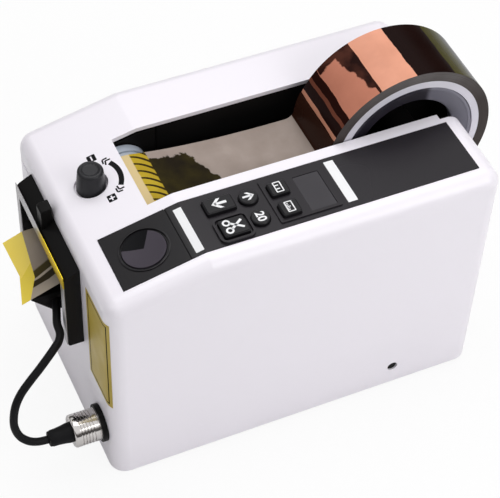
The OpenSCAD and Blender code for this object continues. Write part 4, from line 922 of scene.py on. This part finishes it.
HEAD = [(0, 4.0), (3.3, 0.4), (3.3, -1.7), (0, 1.9), (-3.3, -1.7), (-3.3, 0.4)]
STEM = bar(0, -4.0, 0, 2.4, 1.6)
back = [[[(x, -y) for x, y in outline]] for outline in (HEAD, STEM)]
ahead = [[[(SMALL * x, SMALL * y) for x, y in outline]] for outline in (HEAD, STEM)]
scissors = [[disc(x, -3.2, 2.1), disc(x, -3.2, 1.1)] for x in (-2.6, 2.6)]
scissors += [[bar(side * -1.9, -1.8, side * 2.6, 4.6, 1.3)] for side in (1, -1)]
ruler = [rounded(-3.6, 3.6, -2.1, 2.1, 0.5), rounded(-3.0, 3.0, -1.5, 1.5, 0.2)]
coarse = [ruler] + [[bar(x, -1.6, x, 0.5, 0.7)] for x in (-1.2, 1.2)]
fine = [ruler] + [[bar(x, -1.6, x, 0.5 if x == 0 else -0.3, 0.5)] for x in (-2.0, -1.0, 0, 1.0, 2.0)]
SIGNS = {"reverse_key": back, "forward_key": ahead, "cut_key": scissors, "long_unit_key": coarse,
         "short_unit_key": fine}
for node, shapes in SIGNS.items():
    print_mark(node + "_sign", shapes, key_top(node), ink_white, node)
bpy.ops.object.select_all(action="DESELECT")
bpy.ops.object.text_add()
number = bpy.context.object
number.data.body = "20"
number.data.size = 6.4
number.data.offset = 0.16
number.data.extrude = INK / 2
number.data.align_x, number.data.align_y = "CENTER", "CENTER"
bpy.ops.object.convert(target="MESH")
settle(bpy.context.object, "preset_key_sign", key_top("preset_key"), ink_white, "preset_key")
print("signs", len(SIGNS) + 1)

# %% [markdown]
# Two pale strips lie across the panel, in front of the keys and behind the display. Round the knob a dark
# band with double points at both ends shows which ways it turns, and two small squares with a plus and a
# minus show what each way does. A line and a ring on the rear rocker mean on and off.

# %% Strips, knob marks and rocker marks
PANEL_PROUD, INK_LIFT, SLOPE_LIFT = 0.4, 0.04, 0.05
STRIP_ROUND = 0.3
STRIPS = [("strip_front", 15.3, 2.2, 41.7, -55.6, SLOPE_LIFT, SLOPE),
          ("strip_rear", 15.0, 2.65, 40.5, 27.95, INK_LIFT, 0.0)]
for name, half_l, half_w, x, y, lift, tilt in STRIPS:
    print_mark(name, [[rounded(-half_l, half_l, -half_w, half_w, STRIP_ROUND)]],
               (x, y, roof_height(y) + PANEL_PROUD + lift), ink_white, "control_panel", tilt)
KNOB = middle("pressure_knob")[:2]
BAND_IN, BAND_OUT, BAND_START, BAND_END = 14.5, 17.3, 57, 121
POINT_GAPS = (7.0, 13.5)
POINT_HALF_W, POINT_HALF_L, POINT_LINE = 2.1, 0.9, 0.9
points = []
band_r = (BAND_IN + BAND_OUT) / 2
for end, way in ((BAND_START, -1), (BAND_END, 1)):
    for gap in POINT_GAPS:
        a = math.radians(end + way * gap)
        out = Vector((math.cos(a), math.sin(a)))
        on = Vector((-math.sin(a), math.cos(a))) * way
        tip = band_r * out + POINT_HALF_L * on
        for side in (1, -1):
            arm = (band_r + side * POINT_HALF_W) * out - POINT_HALF_L * on
            points.append([bar(*tip, *arm, POINT_LINE)])
print_mark("knob_band", [[arc_band(BAND_IN, BAND_OUT, BAND_START, BAND_END)]] + points,
           (*KNOB, roof_height(KNOB[1]) + INK_LIFT), ink_black, "upper_housing", SLOPE)
tile = rounded(-2.3, 2.3, -2.3, 2.3, 0.4)
minus = bar(-1.6, 0, 1.6, 0, 0.8)
plus = [(-0.4, -1.6), (0.4, -1.6), (0.4, -0.4), (1.6, -0.4), (1.6, 0.4), (0.4, 0.4), (0.4, 1.6), (-0.4, 1.6),
        (-0.4, 0.4), (-1.6, 0.4), (-1.6, -0.4), (-0.4, -0.4)]
for name, x, y, hole in (("more_tile", 1.8, -80.5, plus), ("less_tile", -28.2, -80.4, minus)):
    print_mark(name, [[tile, hole]], (x, y, roof_height(y) + INK_LIFT), ink_black, "upper_housing", SLOPE)
ROCKER = [
    ("rocker_on", [bar(0, -1.6, 0, 1.6, 0.7)], (INLET_X, 108.36, 56.41), -5.3),
    ("rocker_off", [disc(0, 0, 1.7), disc(0, 0, 1.1)], (INLET_X, 109.36, 48.08), 18.9)]
for name, outlines, at, lean in ROCKER:
    print_mark(name, [outlines], at, ink_white, "power_rocker", math.radians(lean - 90))
print("knob marks about", KNOB)

# %% [markdown]
# Three small parts are cut from plate: the holder of the photo sensor, which reaches out under the tape
# tail and has a cheek with a hole for the lead, the tall upper edge of the guard's rim, and a ring round
# the start key. Each is a flat outline raised to its thickness, with softened edges.

# %% Plate parts
UPRIGHT = math.radians(90)
HOLDER_FRONT, HOLDER_REAR, HOLDER_TOP, HOLDER_LOW = -129.6, -110.6, 94.0, 79.6
RING_X, RING_Y, RING_LIFT = middle("start_key")[0], -78.7, 0.55
RIM_LEFT, RIM_RIGHT = span("guard_rim", "X")


def plate_part(name, outlines, at, finish, node, thick, edge, **turned):
    part = print_mark(name, [outlines], at, finish, node, thick=thick, **turned)
    clean_mesh(part)
    soften_edges(part, edge, segments=3, angle=30)
    bpy.ops.object.shade_smooth_by_angle(angle=math.radians(SHARP))
    return part


CHEEK = [(HOLDER_FRONT, HOLDER_TOP), (HOLDER_FRONT, 92.8), (-119, 81.4), (-112, HOLDER_LOW),
         (HOLDER_REAR, HOLDER_LOW), (HOLDER_REAR, HOLDER_TOP)]
plates = [
    plate_part("sensor_shelf", [oblong(-13, 11, HOLDER_FRONT, HOLDER_REAR)], (0, 0, 93.3), guard_black,
               "tape_sensor", 1.5, 0.3),
    plate_part("sensor_floor", [oblong(-12, 8.6, -118.6, HOLDER_REAR)], (0, 0, 80.6), guard_black,
               "tape_sensor", 1.5, 0.3),
    plate_part("sensor_cheek", [CHEEK, disc(-116.1, 86.7, 2.9)], (9.75, 0, 0), guard_black,
               "tape_sensor", 2.5, 0.3, tilt=UPRIGHT, swing=UPRIGHT),
    plate_part("rim_edge", [oblong(RIM_LEFT, RIM_RIGHT, 116.5, 123.6)], (0, -117.45, 0), rim_steel,
               "guard_rim", 0.4, 0.1, tilt=UPRIGHT),
    plate_part("start_ring", [disc(0, 0, 13.4, SIDES), disc(0, 0, 12.5, SIDES)],
               (RING_X, RING_Y, roof_height(RING_Y) + RING_LIFT), panel_black,
               "control_panel", 0.7, 0.2, tilt=SLOPE)]
print("plate parts", [part.name for part in plates])

# %% [markdown]
# A yellow sticker covers the right-hand end of the front and bends round the corner of the housing. It is
# plain, with a thin dark frame. A curve that follows the front and the corner is drawn out upwards to a
# sheet, made a mesh and given the thickness of the foil.

# %% Sticker round the corner
CORNER_R = 9.0
CORNER_X, CORNER_Y = SIDE_X - CORNER_R, FRONT_Y + CORNER_R
STICKER_X, STICKER_W, STICKER_LOW, STICKER_HIGH = 36.5, 28.6, 56, 122
FRAME_INSET, FRAME_LINE = 2.0, 0.7
FOIL, FOIL_LIFT, FRAME_LIFT, FOIL_SHARP = 0.06, 0.06, 0.1, 30


def along_front(distance, lift):
    flat = CORNER_X - STICKER_X
    if distance <= flat:
        return STICKER_X + distance, FRONT_Y - lift
    a = (distance - flat) / CORNER_R
    return CORNER_X + (CORNER_R + lift) * math.sin(a), CORNER_Y - (CORNER_R + lift) * math.cos(a)


def foil(name, start, end, low, high, lift, finish):
    steps = max(2, round(end - start))
    curve = bpy.data.curves.new(name, "CURVE")
    curve.dimensions = "3D"
    curve.extrude = (high - low) / 2
    places = [along_front(start + (end - start) * k / steps, lift) for k in range(steps + 1)]
    poly_line(curve, [(x, y, (low + high) / 2) for x, y in places])
    sheet = settle(as_mesh(name, curve), name, (0, 0, 0), finish, "upper_housing")
    body = sheet.modifiers.new("body", "SOLIDIFY")
    body.thickness = FOIL * MM
    body.offset = 0
    bpy.ops.object.modifier_apply(modifier="body")
    bpy.ops.object.shade_smooth_by_angle(angle=math.radians(FOIL_SHARP))


foil("sticker", 0, STICKER_W, STICKER_LOW, STICKER_HIGH, FOIL_LIFT, label_yellow)
left, right = FRAME_INSET, STICKER_W - FRAME_INSET
low, high = STICKER_LOW + FRAME_INSET, STICKER_HIGH - FRAME_INSET
FRAME = [
    ("sticker_line_left", left, left + FRAME_LINE, low, high),
    ("sticker_line_right", right - FRAME_LINE, right, low, high),
    ("sticker_line_low", left, right, low, low + FRAME_LINE),
    ("sticker_line_high", left, right, high - FRAME_LINE, high)]
for line in FRAME:
    foil(*line, FRAME_LIFT, ink_black)
print("sticker", STICKER_W, "x", STICKER_HIGH - STICKER_LOW, "mm")

# %% [markdown]
# The floor is a plain pale sheet. White all round comes from the world as the camera and shiny things
# see it. Beyond the white sweep the room is dimmer, so polished metal shows a dark band near the
# horizon. The lamps and the world light the object at a level where a colour looks as written.

# %% Floor, world and lamps
FLOOR_GLOW, ROOM_LEVEL, LAMP_GLOSS = 0.9, 0.42, 0.4
LAMP_AIM = Vector((0, 0, 80)) * MM
LAMPS = [("top_softbox", (-0.25, 0.15, 1.25), 1.0, 8.8), ("front_softbox", (0.2, -1.2, 0.7), 0.8, 0.6),
         ("side_softbox", (1.1, 0.62, 0.8), 0.9, 6.9)]
bpy.ops.object.select_all(action="DESELECT")
bpy.ops.mesh.primitive_plane_add(size=12, location=(0, 0, 0))
floor = bpy.context.object
floor.name = "floor"
paper, tree, shader = start_finish("floor_paper")
feed_all(tree, shader, {"Base Color": rgb(0.9, 0.9, 0.9), "Roughness": 0.9, "Specular IOR Level": 0.0})
seen = add_node(tree, "LightPath").outputs
blend = add_node(tree, "MixShader")
feed(tree, blend.inputs["Fac"], calc(tree, "MULTIPLY", seen["Is Camera Ray"], FLOOR_GLOW))
feed(tree, blend.inputs[1], shader.outputs["BSDF"])
feed(tree, blend.inputs[2], add_node(tree, "Emission").outputs["Emission"])
feed(tree, tree.nodes["Material Output"].inputs["Surface"], blend.outputs["Shader"])
floor.data.materials.append(paper)

world = bpy.data.worlds.new("studio")
bpy.context.scene.world = world
world.use_nodes = True
tree = world.node_tree
seen = add_node(tree, "LightPath").outputs
split = add_node(tree, "SeparateXYZ")
feed(tree, split.inputs["Vector"], add_node(tree, "TexCoord").outputs["Generated"])
clear = calc(tree, "MAXIMUM", seen["Is Camera Ray"], seen["Is Transmission Ray"])
mirrored = tone_ramp(tree, split.outputs["Z"], [
    (0.0, (1, 1, 1)), (0.05, (0.06, 0.06, 0.06)), (0.36, (0.14, 0.13, 0.125)), (0.56, (1, 1, 1))])
level = mix_tones(tree, seen["Is Glossy Ray"], rgb(ROOM_LEVEL, ROOM_LEVEL, ROOM_LEVEL), mirrored)
feed(tree, tree.nodes["Background"].inputs["Color"], mix_tones(tree, clear, level, rgb(1, 1, 1)))

for name, where, size, power in LAMPS:
    aim = (LAMP_AIM - Vector(where)).to_track_quat("-Z", "Y").to_euler()
    bpy.ops.object.light_add(type="AREA", location=where, rotation=aim)
    lamp = bpy.context.object
    lamp.name = name
    lamp.data.size = size
    lamp.data.energy = power
    lamp.data.specular_factor = LAMP_GLOSS
bpy.context.scene.view_settings.view_transform = "Standard"
print("lamps", len(LAMPS))
